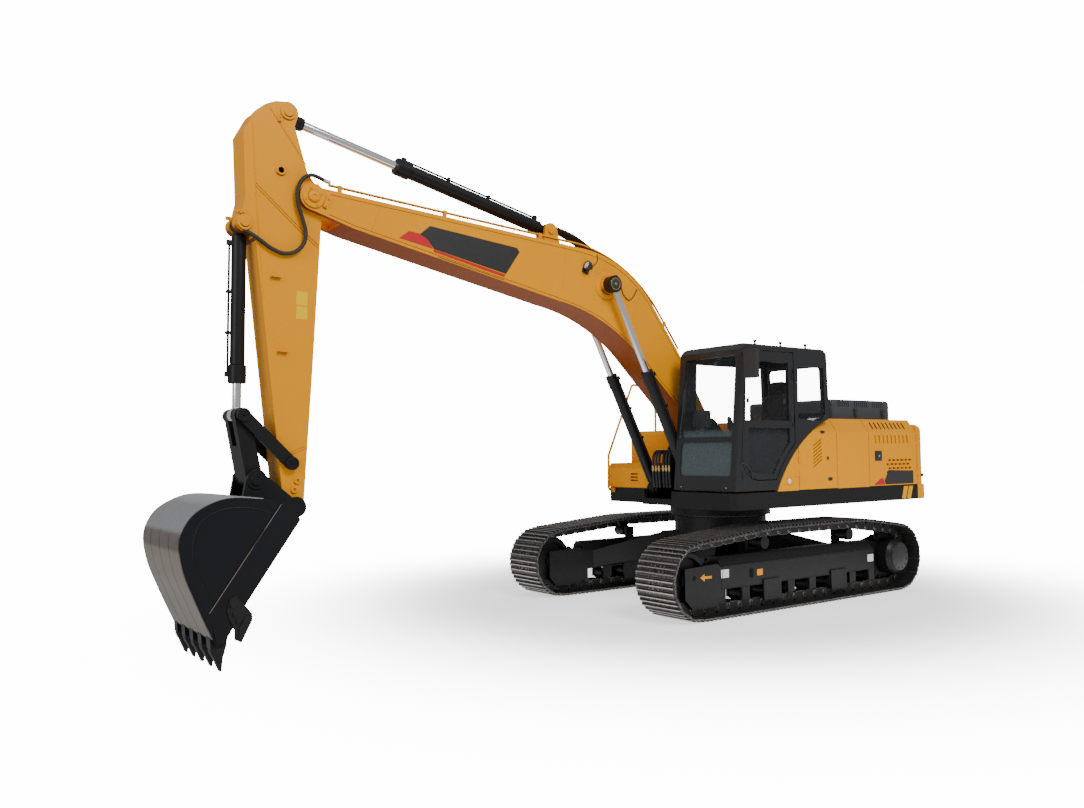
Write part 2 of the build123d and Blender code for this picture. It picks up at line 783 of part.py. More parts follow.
with BuildPart() as hood:
    with BuildSketch(Plane.XY.offset(body_top_z + door_lift)):
        with Locations(((hood_front_x + hood_rear_x) / 2, (hood_left_y + hood_right_y) / 2)):
            RectangleRounded(hood_front_x - hood_rear_x, hood_left_y - hood_right_y, 60)
    extrude(amount=hood_top_z - body_top_z - door_lift)
    fillet(hood.faces().sort_by(Axis.Z)[-1].edges(), 50)
    offset(amount=-hood_t, openings=hood.faces().sort_by(Axis.Z)[0])
    for start, count in hood_slots:
        for k in range(count):
            with Locations((start - k * 42, hood_left_y - 10, hood_top_z - 45)):
                Box(18, 120, 100, mode=Mode.SUBTRACT)
    for x in hood_hinge_xs:
        add(hood_hinge_half(x, True))
keep(hood.part, "engine_hood")

# Engine: one plain block on the deck

with BuildPart() as engine:
    with Locations((-1500, 120, deck_z + run_gap + 360)):
        Box(1150, 720, 720)
    fillet(engine.edges().filter_by(Axis.X), 60)
keep(engine.part, "engine_block")

# Tool box and tank on the right, with the box's air slots in front

tank_in_y = -450.0
tank_top_z = 2090.0
tool_box_top_z = 1655.0

with BuildPart() as tank:
    with BuildSketch(side((-house_half_width + tank_in_y) / 2)):
        with BuildLine():
            Polyline(
                (tank_rear_x, deck_z + run_gap),
                (tank_front_x - run_gap, deck_z + run_gap),
                (tank_front_x - run_gap, tank_top_z - 60),
                (tank_front_x - 60, tank_top_z),
                (tank_rear_x, tank_top_z),
                close=True,
            )
        make_face()
    extrude(amount=(tank_in_y + house_half_width) / 2, both=True)
    fillet(tank.edges().filter_by(Axis.X).sort_by(Axis.Z)[-2:], 40)
keep(tank.part, "tank")

with BuildPart() as tool_box:
    with BuildSketch(side((-house_half_width + tank_in_y) / 2)):
        with BuildLine():
            Polyline(
                (tank_front_x, deck_z + run_gap),
                (right_front_x - 5, deck_z + run_gap),
                (right_front_x - 12, tool_box_top_z - 70),
                (right_front_x - 70, tool_box_top_z),
                (tank_front_x, tool_box_top_z),
                close=True,
            )
        make_face()
    extrude(amount=(tank_in_y + house_half_width) / 2, both=True)
    with BuildSketch(Plane.YZ.offset(right_front_x - 60)):
        for k in range(3):
            with Locations((-830, 1425 + k * 42)):
                SlotOverall(150, 20)
    extrude(amount=80, mode=Mode.SUBTRACT)
keep(tool_box.part, "tool_box")

# Handrails on the right: an outer one past the tool box and an inner one

rail_r = 17.0
rail_outer_y = -1250.0
rail_inner_y = -620.0

with BuildPart() as handrails:
    with BuildLine() as outer_path:
        FilletPolyline(
            (right_front_x + 20, rail_outer_y, 1290),
            (right_front_x + 85, rail_outer_y, 1290),
            (right_front_x + 75, rail_outer_y, 1765),
            (375, rail_outer_y, 2736),
            (60, rail_outer_y, 2736),
            (-60, rail_outer_y, 2400),
            (-60, rail_outer_y, tank_top_z + run_gap),
            radius=50,
        )
    with BuildSketch(Plane(origin=outer_path.line @ 0, z_dir=outer_path.line % 0)):
        Circle(rail_r)
    sweep(path=outer_path.line)
    with Locations((right_front_x + 10.3, rail_outer_y, 1290)):
        Box(20, 80, 60)
    with BuildLine() as inner_path:
        FilletPolyline(
            (-250, rail_inner_y, tank_top_z + run_gap),
            (-250, rail_inner_y, 2560),
            (130, rail_inner_y, 2560),
            (200, rail_inner_y, 2330),
            (200, rail_inner_y, tank_top_z + run_gap),
            radius=60,
        )
    with BuildSketch(Plane(origin=inner_path.line @ 0, z_dir=inner_path.line % 0)):
        Circle(rail_r)
    sweep(path=inner_path.line)
keep(handrails.part, "handrails")

# Cab: a hollow shell with its windows cut, open where the door hangs

cab_outer_y = house_half_width
cab_mid_y = (cab_inner_y + cab_outer_y) / 2
cab_half_y = (cab_outer_y - cab_inner_y) / 2
front_foot_x = 1212.0
front_top_x = 1056.0
front_top_z = 2960.0
cab_rear_top_x = -467.0
door_rear_x = 165.0
cab_hinge_x = door_rear_x - panel_gap / 2
door_top_z = 2950.0
door_front_in = 85.0
door_sill_z = 1470.0
split_z = 1933.0              # bar between the windscreen and the lower window
door_t = 45.0


def front_x(z):
    """Where the raked front face of the cab stands at height z."""
    return front_foot_x + (front_top_x - front_foot_x) * (z - cab_floor_z) / (front_top_z - cab_floor_z)


cab_points = (
    (front_foot_x, cab_floor_z),
    (front_top_x, front_top_z),
    (front_top_x - 70, cab_top_z),
    (cab_rear_top_x + 60, cab_top_z),
    (cab_rear_top_x, cab_top_z - 60),
    (cab_rear_x, body_top_z),
    (cab_rear_x, cab_floor_z),
)
door_points = (
    (door_rear_x, door_top_z),
    (front_x(door_top_z) - door_front_in, door_top_z),
    (front_x(1720) - door_front_in, 1720),
    (front_x(1720) - door_front_in - 50, 1570),
    (front_x(1720) - door_front_in - 150, 1500),
    (front_x(1720) - door_front_in - 260, door_sill_z),
    (door_rear_x, door_sill_z),
)


def side_slab(points, y, t, grow):
    """Flat piece in the cab's side with the given outline, grown by a gap."""
    with BuildPart() as slab:
        with BuildSketch(side(y)):
            with BuildLine():
                Polyline(*points, close=True)
            make_face()
            if grow:
                offset(amount=grow, kind=Kind.INTERSECTION, mode=Mode.REPLACE)
        extrude(amount=t / 2, both=True)
    return slab.part


above_body = cab_side_tool(-panel_gap)
above_sill = cab_side_tool(-panel_gap - 75)
above_glass = cab_side_tool(-panel_gap - 135)
door_opening = side_slab(door_points, cab_outer_y, 2 * cab_wall + 60, panel_gap)
door_shape = side_slab(door_points, cab_outer_y - door_t / 2 - 2, door_t, 0)
cab_low_y = cover_in_y - panel_t - panel_gap       # cab's left side behind the body panels
rear_side_window = ((95, 2180), (85, 2800), (-400, 2800), (-420, 2240), (-330, 2150))
right_window = ((880, 1990), (835, 2860), (-380, 2860), (-400, 2260), (-300, 2180), (100, 1990))

with BuildPart() as cab_shell:
    with BuildSketch(side(cab_mid_y)) as cab_plan:
        with BuildLine():
            Polyline(*cab_points, close=True)
        make_face()
    extrude(amount=cab_half_y, both=True)
    fillet(cab_shell.edges().filter_by(Axis.X).sort_by(Axis.Z)[-2:], 40)
    with BuildPart(mode=Mode.PRIVATE) as outside:
        with Locations(((cab_rear_x + front_foot_x) / 2, cab_low_y + 150, (cab_floor_z + cab_top_z) / 2)):
            Box(3000, 300, 3000)
        add(above_body, mode=Mode.SUBTRACT)
    add(outside.part, mode=Mode.SUBTRACT)
    with BuildSketch(side(cab_mid_y), mode=Mode.PRIVATE) as hollow_plan:
        add(cab_plan.face())
        offset(amount=-cab_wall, kind=Kind.INTERSECTION, mode=Mode.REPLACE)
    hollow = extrude(hollow_plan.sketch, amount=cab_half_y - cab_wall, both=True, mode=Mode.PRIVATE)
    with BuildPart(mode=Mode.PRIVATE) as low_hollow:
        add(hollow)
        with Locations((0, cab_low_y - cab_wall + 500, cab_floor_z + 800)):
            Box(4000, 1000, 4000, mode=Mode.SUBTRACT)
    add(low_hollow.part, mode=Mode.SUBTRACT)
    add(hollow & cab_side_tool(-panel_gap - cab_wall), mode=Mode.SUBTRACT)
    # Door opening
    add(door_opening & cab_side_tool(-75), mode=Mode.SUBTRACT)
    # Windscreen and lower front window
    for z0, z1 in ((split_z + 30, front_top_z - 70), (cab_floor_z + 170, split_z - 30)):
        with BuildSketch(Plane.YZ.offset(front_top_x - 130)):
            with Locations((cab_mid_y, (z0 + z1) / 2)):
                RectangleRounded(2 * (cab_half_y - cab_post), z1 - z0, 45)
        extrude(amount=400, mode=Mode.SUBTRACT)
    # Rear window
    with BuildSketch(Plane.YZ.offset(cab_rear_x - overlap)):
        with Locations((cab_mid_y, 2540)):
            RectangleRounded(2 * (cab_half_y - cab_post), 560, 45)
    extrude(amount=180, mode=Mode.SUBTRACT)
    # Side windows
    add(side_slab(rear_side_window, cab_outer_y, 2 * cab_wall + 60, 0), mode=Mode.SUBTRACT)
    add(side_slab(right_window, cab_inner_y, 2 * cab_wall + 60, 0), mode=Mode.SUBTRACT)
    for z in cab_hinge_zs:
        add(hinge_half(cab_hinge_x, z + upper_half, -1, 1))
    # Rubber mounts between the cab and the deck
    for x in (-350, front_foot_x - 120):
        for s in (-1, 1):
            with Locations((x, cab_mid_y + s * 240, (deck_z + run_gap + cab_floor_z + 10) / 2)):
                Cylinder(60, cab_floor_z + 10 - deck_z - run_gap)
keep(cab_shell.part, "cab_shell")

# Cab door: the frame with its two window openings, and the glass in them

door_upper = ((255, 2150), (255, 2830), (985, 2830), (1020, 2150))
door_lower = ((255, 1760), (255, 2060), (975, 2060), (985, 1560), (560, 1530), (500, 1560))

with BuildPart() as cab_door:
    add(door_shape)
    add(above_sill, mode=Mode.INTERSECT)
    for window in (door_upper, door_lower):
        cut = side_slab(window, cab_outer_y - door_t / 2 - 2, door_t + 2 * overlap, 0)
        add(cut & above_glass, mode=Mode.SUBTRACT)
    for z in cab_hinge_zs:
        add(hinge_half(cab_hinge_x, z, 1, 1))
keep(cab_door.part, "cab_door")

with BuildPart() as cab_door_glass:
    for window in (door_upper, door_lower):
        pane = side_slab(window, cab_outer_y - door_t / 2 - 2, glass_t, -run_gap)
        add(pane & cab_side_tool(-panel_gap - 135 - run_gap))
keep(cab_door_glass.part, "cab_door_glass")

with BuildPart() as cab_glass:
    # Raked panes in front
    for z0, z1 in ((split_z + 30, front_top_z - 70), (cab_floor_z + 170, split_z - 30)):
        with BuildSketch(Plane.YZ.offset(front_top_x - 130)):
            with Locations((cab_mid_y, (z0 + z1) / 2)):
                RectangleRounded(2 * (cab_half_y - cab_post - run_gap), z1 - z0 - 2 * run_gap, 45)
        pane = extrude(amount=400, mode=Mode.PRIVATE)
        with BuildSketch(side(cab_mid_y)):
            with BuildLine():
                Polyline(
                    (front_foot_x - 15, cab_floor_z),
                    (front_top_x - 15, front_top_z),
                    (front_top_x - 15 - glass_t, front_top_z),
                    (front_foot_x - 15 - glass_t, cab_floor_z),
                    close=True,
                )
            make_face()
        slab = extrude(amount=cab_half_y, both=True, mode=Mode.PRIVATE)
        add(pane & slab)
    with BuildSketch(Plane.YZ.offset(cab_rear_x + 40)):
        with Locations((cab_mid_y, 2540)):
            RectangleRounded(2 * (cab_half_y - cab_post - run_gap), 560 - 2 * run_gap, 45)
    extrude(amount=glass_t)
    add(side_slab(rear_side_window, cab_outer_y - 25, glass_t, -run_gap))
    add(side_slab(right_window, cab_inner_y + 25, glass_t, -run_gap))
keep(cab_glass.part, "cab_glass")

# Inside the cab: seat on its box, consoles with levers, monitor

seat_x = 60.0
floor_in_z = cab_floor_z + cab_wall

with BuildPart() as seat:
    with Locations((seat_x + 60, cab_mid_y, floor_in_z + run_gap + 190)):
        Box(420, 440, 380)
    with Locations((seat_x + 80, cab_mid_y, floor_in_z + 440)):
        Box(520, 460, 130)
    with BuildSketch(side(cab_mid_y)):
        with BuildLine():
            Polyline(
                (seat_x - 180, floor_in_z + 400),
                (seat_x - 50, floor_in_z + 400),
                (seat_x - 140, floor_in_z + 1050),
                (seat_x - 250, floor_in_z + 1050),
                close=True,
            )
        make_face()
    extrude(amount=240, both=True)
    with BuildSketch(side(cab_mid_y)):
        with BuildLine():
            Polyline(
                (seat_x - 245, floor_in_z + 1040),
                (seat_x - 150, floor_in_z + 1040),
                (seat_x - 165, floor_in_z + 1260),
                (seat_x - 255, floor_in_z + 1260),
                close=True,
            )
        make_face()
    extrude(amount=140, both=True)
keep(seat.part, "seat")

with BuildPart() as consoles:
    for s in (-1, 1):
        with Locations((365, cab_mid_y + s * 285, floor_in_z + 505)):
            Box(270, 90, 190)
        with Locations((455, cab_mid_y + s * 240, floor_in_z + run_gap + 215)):
            Box(80, 36, 430)
        with Locations((430, cab_mid_y + s * 285, floor_in_z + 640)):
            Cylinder(22, 90)
        with Locations((430, cab_mid_y + s * 285, floor_in_z + 730)):
            Cylinder(32, 110)
    # Travel pedals with their levers, and the monitor on its post
    for s in (-1, 1):
        with Locations((780, cab_mid_y + s * 90, floor_in_z + run_gap + 30)):
            Box(260, 110, 60)
        with Locations((800, cab_mid_y + s * 90, floor_in_z + 330)):
            Cylinder(14, 600)
    with Locations((930, cab_inner_y + cab_wall + 120, floor_in_z + run_gap + 350)):
        Box(60, 60, 700)
    with Locations((925, cab_inner_y + cab_wall + 150, floor_in_z + 790)):
        Box(60, 240, 200)
keep(consoles.part, "cab_controls")

# Mirror on the cab's front left corner

with BuildPart() as mirror_piece:
    with Locations((1030, cab_outer_y + run_gap + 100, 2890)):
        Box(36, 200, 36)
    with Locations((1070, cab_outer_y + 182, 2890)):
        Box(110, 36, 36)
    with Locations((1118, cab_outer_y + 190, 2770)):
        Box(60, 170, 320)
keep(mirror_piece.part, "cab_mirror")

# Boom: a box section with a foot hub, side bosses for its cylinders and a fork at the tip

boom_boss = (2174.0, 917.0)       # in the boom's own axes, as are the next ones
boom_boss_r = 105.0
arm_cylinder_foot = (3051.0, 1193.0)
boom_top = ((5650, 125), (2700, 1135))
boom_bend = (2150, 1235)
boom_back = ((1500, 1075), (801, 669), (60, 137))
boom_belly = ((300, -60), (653, 85), (1498, 403))
boom_hollow = (2151, 501)
boom_front = ((2747, 426), (5230, -75), (5540, -110), (5700, -130))
fork_start = 5340.0
fork_gap_half = arm_half_width + pin_gap
tip_pin_r = 60.0
tip_boss_r = 130.0
slot_half = 55.0                  # half width of the slot round a cylinder's eye
eye_half = eye_width / 2
cylinder_ear_t = 34.0
boom_plane = member_plane(boom_foot, boom_chord_deg)

with BuildPart() as boom:
    with BuildSketch(boom_plane):
        with BuildLine():
            l1 = Line(boom_top[0], boom_top[1])
            l2 = ThreePointArc(boom_top[1], boom_bend, boom_back[0])
            l3 = Polyline(*boom_back, (0, 0), (60, -137), *boom_belly)
            l4 = ThreePointArc(boom_belly[-1], boom_hollow, boom_front[0])
            Polyline(*boom_front, (boom_length, 0), boom_top[0])
        make_face()
        Circle(boom_foot_r)
        with Locations((boom_length, 0)):
            Circle(tip_boss_r)
    extrude(amount=boom_half_width, both=True)
    # Bosses of the boom cylinders
    with BuildSketch(boom_plane):
        with Locations(boom_boss):
            Circle(boom_boss_r)
    extrude(amount=cylinder_y - eye_half - pin_gap, both=True)
    # Ears of the arm cylinder
    with BuildSketch(boom_plane):
        with Locations(arm_cylinder_foot):
            Circle(eye_r)
        with Locations((arm_cylinder_foot[0] - 100, arm_cylinder_foot[1] - 200)):
            Rectangle(250, 60)
        make_hull()
    extrude(amount=slot_half + cylinder_ear_t, both=True)
    with BuildSketch(boom_plane):
        with Locations(arm_cylinder_foot):
            Circle(eye_r + 12)
        with Locations((arm_cylinder_foot[0] + 180, arm_cylinder_foot[1])):
            Rectangle(400, 2 * eye_r + 24)
    extrude(amount=eye_half + pin_gap, both=True, mode=Mode.SUBTRACT)
    # Fork round the arm
    with BuildSketch(boom_plane):
        with Locations((fork_start + 400, 0)):
            Rectangle(800, 800)
    extrude(amount=fork_gap_half, both=True, mode=Mode.SUBTRACT)
    # Pins of the arm and of the arm cylinder
    for place, r, half in (
        ((boom_length, 0), tip_pin_r, boom_half_width + 18),
        (arm_cylinder_foot, cylinder_pin_r, slot_half + cylinder_ear_t + 12),
    ):
        with BuildSketch(boom_plane):
            with Locations(place):
                Circle(r)
        extrude(amount=half, both=True)
    with BuildSketch(boom_plane):
        Circle(foot_pin_r + run_gap)
    extrude(amount=boom_half_width + overlap, both=True, mode=Mode.SUBTRACT)
keep(boom.part, "boom")

# Oil pipes along the boom's top, one above each side plate, on welded posts

pipe_r = 14.0
pipe_rise = 50.0                  # centre above the boom's top plate
pipe_y = boom_half_width - 30.0
pipe_start_u = 5590.0
pipe_end_u = 860.0
pipe_bend_r = 1800.0
post_us = (5478.0, 4371.0, 3210.0)
post_back_u = 1180.0
post_width = 40.0
post_t = 26.0
post_top = 20.0                   # how far a post stands past the pipe's centre


def beside(p, q, u, rise):
    """Point at u on the line from p to q, moved out by rise, and the line's own direction."""
    slope = atan2(q[1] - p[1], q[0] - p[0])
    v = p[1] + (u - p[0]) * tan(slope)
    return (u + rise * sin(slope), v - rise * cos(slope)), slope


def meeting(p, a, q, b):
    """Where the line through p at the angle a meets the line through q at the angle b."""
    t = ((q[0] - p[0]) * sin(b) - (q[1] - p[1]) * cos(b)) / sin(b - a)
    return (p[0] + t * cos(a), p[1] + t * sin(a))


pipe_start, top_slope = beside(*boom_top, pipe_start_u, pipe_rise)
pipe_end, back_slope = beside(*boom_back[:2], pipe_end_u, pipe_rise)
pipe_corner = meeting(pipe_start, top_slope, pipe_end, back_slope)

with BuildPart() as boom_pipes:
    for s in (-1, 1):
        pipe_plane = member_plane(boom_foot, boom_chord_deg, s * pipe_y)
        with BuildLine(pipe_plane) as route:
            FilletPolyline(pipe_start, pipe_corner, pipe_end, radius=pipe_bend_r)
        with BuildSketch(Plane(route.line @ 0, z_dir=route.line % 0)):
            Circle(pipe_r)
        sweep(path=route.line)
        with BuildSketch(pipe_plane):
            for line, us in ((boom_top, post_us), (boom_back[:2], (post_back_u,))):
                for u in us:
                    middle, slope = beside(*line, u, (pipe_rise + post_top + run_gap) / 2)
                    with Locations(Location((*middle, 0), (0, 0, degrees(slope)))):
                        Rectangle(post_width, pipe_rise + post_top - run_gap)
        extrude(amount=post_t / 2, both=True)
keep(boom_pipes.part, "boom_pipes")

# Work lamp on the boom's left side: a plate, a stalk and a bowl that opens forward

lamp_place = (2522.0, 924.0)
lamp_r = 52.0
lamp_out = 62.0                   # bowl's centre from the side plate
lamp_lift = 45.0
lamp_back = 30.0
lamp_front = 55.0
lamp_lip = 6.0
lamp_lens = 42.0
lamp_y = boom_half_width + lamp_out
lamp_v = lamp_place[1] + lamp_lift

with BuildPart() as boom_lamp:
    with BuildSketch(member_plane(boom_foot, boom_chord_deg, boom_half_width + run_gap)):
        with Locations(lamp_place):
            RectangleRounded(90, 60, 12)
    extrude(amount=-8)
    with BuildSketch(member_plane(boom_foot, boom_chord_deg, boom_half_width + run_gap)):
        with Locations((lamp_place[0], lamp_place[1] + lamp_lift / 2)):
            Rectangle(26, lamp_lift + 26)
    extrude(amount=-lamp_out)
    with BuildSketch(member_plane(boom_foot, boom_chord_deg, lamp_y)):
        with BuildLine():
            Polyline(
                (lamp_place[0] - lamp_back, lamp_v),
                (lamp_place[0] - lamp_back, lamp_v + 24),
                (lamp_place[0] + 10, lamp_v + lamp_r),
                (lamp_place[0] + lamp_front, lamp_v + lamp_r),
                (lamp_place[0] + lamp_front, lamp_v + lamp_r - lamp_lip),
                (lamp_place[0] + lamp_lens, lamp_v + lamp_r - lamp_lip),
                (lamp_place[0] + lamp_lens, lamp_v),
                close=True,
            )
        make_face()
    revolve(axis=tube_axis(boom_foot, radians(boom_chord_deg), lamp_y, lamp_v))
keep(boom_lamp.part, "boom_lamp")


# Arm: a box section with its heel, the slots of both cylinders' eyes and the pin bores

arm_top_pin = (-773.0, 265.0)
bucket_cylinder_foot = (350.0, 615.0)
arm_link_pin = (2520.0, 65.0)
arm_eye_hole = (-203.0, 306.0)
heel_r = 130.0
arm_top_boss_r = 100.0
arm_tip_r = 95.0
link_pin_r = 40.0
bucket_pin_r = 45.0
bucket_eye_r = 72.0
bucket_ear_r = 84.0
bucket_cylinder_pin_r = 38.0
arm_points = (
    (-873, 265), (-850, 390), (-794, 490), (-710, 576), (-493, 676), (111, 622), (270, 650), (430, 590),
    (498, 502), (1630, 317), (2783, 130), (2920, 95), (2920, -95), (2853, -85),
    (1730, -103), (290, -116), (100, -115), (-81, -90), (-233, 44), (-652, 194), (-773, 165),
)
arm_plane = member_plane(boom_tip, arm_chord_deg)

with BuildPart() as arm:
    with BuildSketch(arm_plane):
        with BuildLine():
            Polyline(*arm_points, close=True)
        make_face()
        Circle(heel_r)
        with Locations(arm_top_pin):
            Circle(arm_top_boss_r)
        with Locations(bucket_cylinder_foot):
            Circle(bucket_ear_r)
        with Locations((arm_length, 0)):
            Circle(arm_tip_r)
    extrude(amount=arm_half_width, both=True)
    # Slot of the arm cylinder's eye
    with BuildSketch(arm_plane):
        with Locations((-925, 350)):
            Rectangle(600, 900)
    extrude(amount=slot_half, both=True, mode=Mode.SUBTRACT)
    # Slot of the bucket cylinder's foot, and its pin
    with BuildSketch(arm_plane):
        with Locations(bucket_cylinder_foot):
            Circle(bucket_eye_r + 14)
        with Locations((bucket_cylinder_foot[0] + 200, bucket_cylinder_foot[1])):
            Rectangle(400, 2 * bucket_eye_r + 28)
    extrude(amount=eye_half + pin_gap, both=True, mode=Mode.SUBTRACT)
    with BuildSketch(arm_plane):
        with Locations((bucket_cylinder_foot[0] + 290, bucket_cylinder_foot[1])):
            Rectangle(400, 2 * bucket_eye_r + 28)
    extrude(amount=arm_half_width + overlap, both=True, mode=Mode.SUBTRACT)
    with BuildSketch(arm_plane):
        with Locations(bucket_cylinder_foot):
            Circle(bucket_cylinder_pin_r)
    extrude(amount=arm_half_width, both=True)
    for place, r in (
        ((0, 0), tip_pin_r),
        (arm_link_pin, link_pin_r),
        ((arm_length, 0), bucket_pin_r),
        (arm_eye_hole, tow_hole_r),
    ):
        with BuildSketch(arm_plane):
            with Locations(place):
                Circle(r + run_gap)
        extrude(amount=arm_half_width + overlap, both=True, mode=Mode.SUBTRACT)
keep(arm.part, "arm")

# Idler links and bucket link between the arm, the cylinder and the bucket

link_joint = (6316.0, 2181.0)
bucket_lug = (arm_tip[0] + 376.0, arm_tip[1] + 265.0)
arm_link_place = along(boom_tip, arm_chord_deg, *arm_link_pin)
link_plate_t = 40.0
link_r = 58.0
link_boss_r = 66.0
lug_boss_r = 76.0

with BuildPart() as idler_links:
    for s in (-1, 1):
        with BuildSketch(side(s * (fork_gap_half + link_plate_t / 2))):
            for place in (arm_link_place, link_joint):
                with Locations(place):
                    Circle(link_r)
            make_hull()
        extrude(amount=link_plate_t / 2, both=True)
        with BuildSketch(side(s * slot_half)):
            with Locations(link_joint):
                Circle(link_pin_r)
        extrude(amount=-s * (fork_gap_half + link_plate_t + 10 - slot_half))
    with BuildSketch(side(0)):
        with Locations(arm_link_place):
            Circle(link_pin_r)
    extrude(amount=fork_gap_half + link_plate_t + 10, both=True)
keep(idler_links.part, "idler_links")

link_deg, link_length = heading(link_joint, bucket_lug)

with BuildPart() as bucket_link:
    with BuildSketch(member_plane(link_joint, link_deg)):
        Circle(link_boss_r)
        with Locations((link_length, 0)):
            Circle(lug_boss_r)
        make_hull()
    extrude(amount=arm_half_width, both=True)
    with BuildSketch(member_plane(link_joint, link_deg)):
        with Locations((80, 0)):
            Rectangle(380, 400)
    extrude(amount=slot_half + 5, both=True, mode=Mode.SUBTRACT)
    with BuildSketch(side(0)):
        with Locations(link_joint):
            Circle(link_pin_r + run_gap)
    extrude(amount=arm_half_width + overlap, both=True, mode=Mode.SUBTRACT)
keep(bucket_link.part, "bucket_link")

# Bucket: back plate, side plates with cutting edges, ears, adapters on the lip

bucket_wall = 25.0
bucket_side_t = 22.0
back_points = (
    (170, 20), (280, 66), (450, 106), (681, 127), (842, 104), (1014, 17), (1113, -103), (1150, -257),
    (1110, -479), (1031, -681), (946, -877), (845, -1097),
)
lip_point = (780, -1086)
mouth_points = ((584, -760), (116, -92))
tooth_pitch = 245.0


def from_pin(points):
    """Points given from the bucket pin, in the machine's X and Z."""
    return [(arm_tip[0] + x, arm_tip[1] + z) for x, z in points]


def inset(points, t):
    """Open chain of points moved to its right by t."""
    moved = []
    for i, p in enumerate(points):
        before = points[max(i - 1, 0)]
        after = points[min(i + 1, len(points) - 1)]
        dx = after[0] - before[0]
        dz = after[1] - before[1]
        size = hypot(dx, dz)
        moved.append((p[0] + t * dz / size, p[1] - t * dx / size))
    return moved


with BuildPart() as bucket:
    with BuildSketch(side(0)):
        with BuildLine():
            Polyline(*from_pin(back_points + (lip_point,) + mouth_points), close=True)
        make_face()
    extrude(amount=bucket_half_width, both=True)
    with BuildSketch(side(0)):
        with BuildLine():
            inner = inset(back_points, bucket_wall)
            Polyline(*from_pin(inner + [(770, -1130), (500, -900), (0, -200), (140, 0)]), close=True)
        make_face()
    extrude(amount=bucket_half_width - bucket_side_t, both=True, mode=Mode.SUBTRACT)
    # Ears between which the arm and the bucket link come
    for s in (-1, 1):
        with BuildSketch(side(s * (fork_gap_half + link_plate_t / 2))):
            with BuildLine():
                ear = ((0, -60), (170, 10), (300, 60), (500, 100), (465, 290), (400, 338), (300, 310), (40, 90))
                Polyline(*from_pin(ear), close=True)
            make_face()
            with Locations(arm_tip):
                Circle(arm_tip_r)
            with Locations(bucket_lug):
                Circle(lug_boss_r + 4)
        extrude(amount=link_plate_t / 2, both=True)
    with BuildSketch(side(0)):
        with Locations(arm_tip):
            Circle(bucket_pin_r)
    extrude(amount=fork_gap_half + link_plate_t + 12, both=True)
    # Adapters that hold the teeth
    for k in range(-2, 3):
        with BuildSketch(side(k * tooth_pitch)):
            with BuildLine():
                adapter = ((735, -1000), (800, -1000), (890, -985), (880, -1120), (750, -1120))
                Polyline(*from_pin(adapter), close=True)
            make_face()
        extrude(amount=52, both=True)
keep(bucket.part, "bucket")

# Teeth and the cutters on the bucket's sides

with BuildPart() as teeth:
    for k in range(-2, 3):
        with BuildSketch(side(k * tooth_pitch)):
            with BuildLine():
                tooth = ((757, -1120 - run_gap), (873, -1120 - run_gap), (860, -1190), (796, -1322), (774, -1322))
                Polyline(*from_pin(tooth), close=True)
            make_face()
        extrude(amount=44, both=True)
    for s in (-1, 1):
        with BuildSketch(side(s * (bucket_half_width + run_gap + 10))):
            with BuildLine():
                cutter = ((330, -400), (282, -462), (520, -800), (640, -930), (700, -900), (650, -760), (420, -420))
                Polyline(*from_pin(cutter), close=True)
            make_face()
        extrude(amount=10, both=True)
keep(teeth.part, "bucket_teeth")


# Cylinders


head_length = 160.0
head_rise = 16.0              # of a head above its barrel, where nothing is beside it
tube_r = 11.0
tube_lift = 22.0              # the tube's centre above the barrel
tube_block = 44.0
clamp_width = 26.0


def barrel_part(foot, degrees_up, y, r, bore, rod, foot_eye_r, pin, start, reach, head_rise):
    """Barrel with its foot eye, a thicker head and the oil tube that feeds the head."""
    plane = member_plane(foot, degrees_up, y)
    a = radians(degrees_up)
    tube_v = r + tube_lift
    wall_v = (r + bore) / 2
    with BuildPart() as barrel:
        with BuildSketch(plane):
            with BuildLine():
                Polyline(
                    (0.7 * foot_eye_r, 0),
                    (0.7 * foot_eye_r, 0.55 * foot_eye_r),
                    (start - 20, r * 0.8),
                    (start, r),
                    (reach - head_length - 12, r),
                    (reach - head_length, r + head_rise),
                    (reach - 8, r + head_rise),
                    (reach, r + head_rise - 8),
                    (reach, rod + 2 * run_gap),
                    (reach - 60, rod + 2 * run_gap),
                    (reach - 60, bore),
                    (start + 20, bore),
                    (start + 20, 0),
                    close=True,
                )
            make_face()
        revolve(axis=Axis((foot[0], y, foot[1]), (cos(a), 0, sin(a))))
        with BuildSketch(plane):
            Circle(foot_eye_r)
        extrude(amount=eye_half, both=True)
        with BuildSketch(plane):
            Circle(pin + run_gap)
        extrude(amount=eye_half + overlap, both=True, mode=Mode.SUBTRACT)
        # The tube runs from a block near the foot to the head, in two clamps on the barrel's wall
        with BuildSketch(plane):
            with BuildLine():
                Polyline(
                    (start + 60, tube_v - tube_r),
                    (start + 60, tube_v),
                    (reach - head_length / 2, tube_v),
                    (reach - head_length / 2, tube_v - tube_r),
                    close=True,
                )
            make_face()
        revolve(axis=tube_axis(foot, a, y, tube_v))
        with BuildSketch(plane):
            for u in (start + 60, reach - head_length / 2):
                with Locations((u, (wall_v + r + tube_block) / 2)):
                    Rectangle(tube_block, r + tube_block - wall_v)
            for share in (0.38, 0.66):
                with Locations((start + share * (reach - start), (wall_v + r + tube_block) / 2)):
                    Rectangle(clamp_width, r + tube_block - wall_v)
        extrude(amount=tube_block / 2, both=True)
    return barrel.part


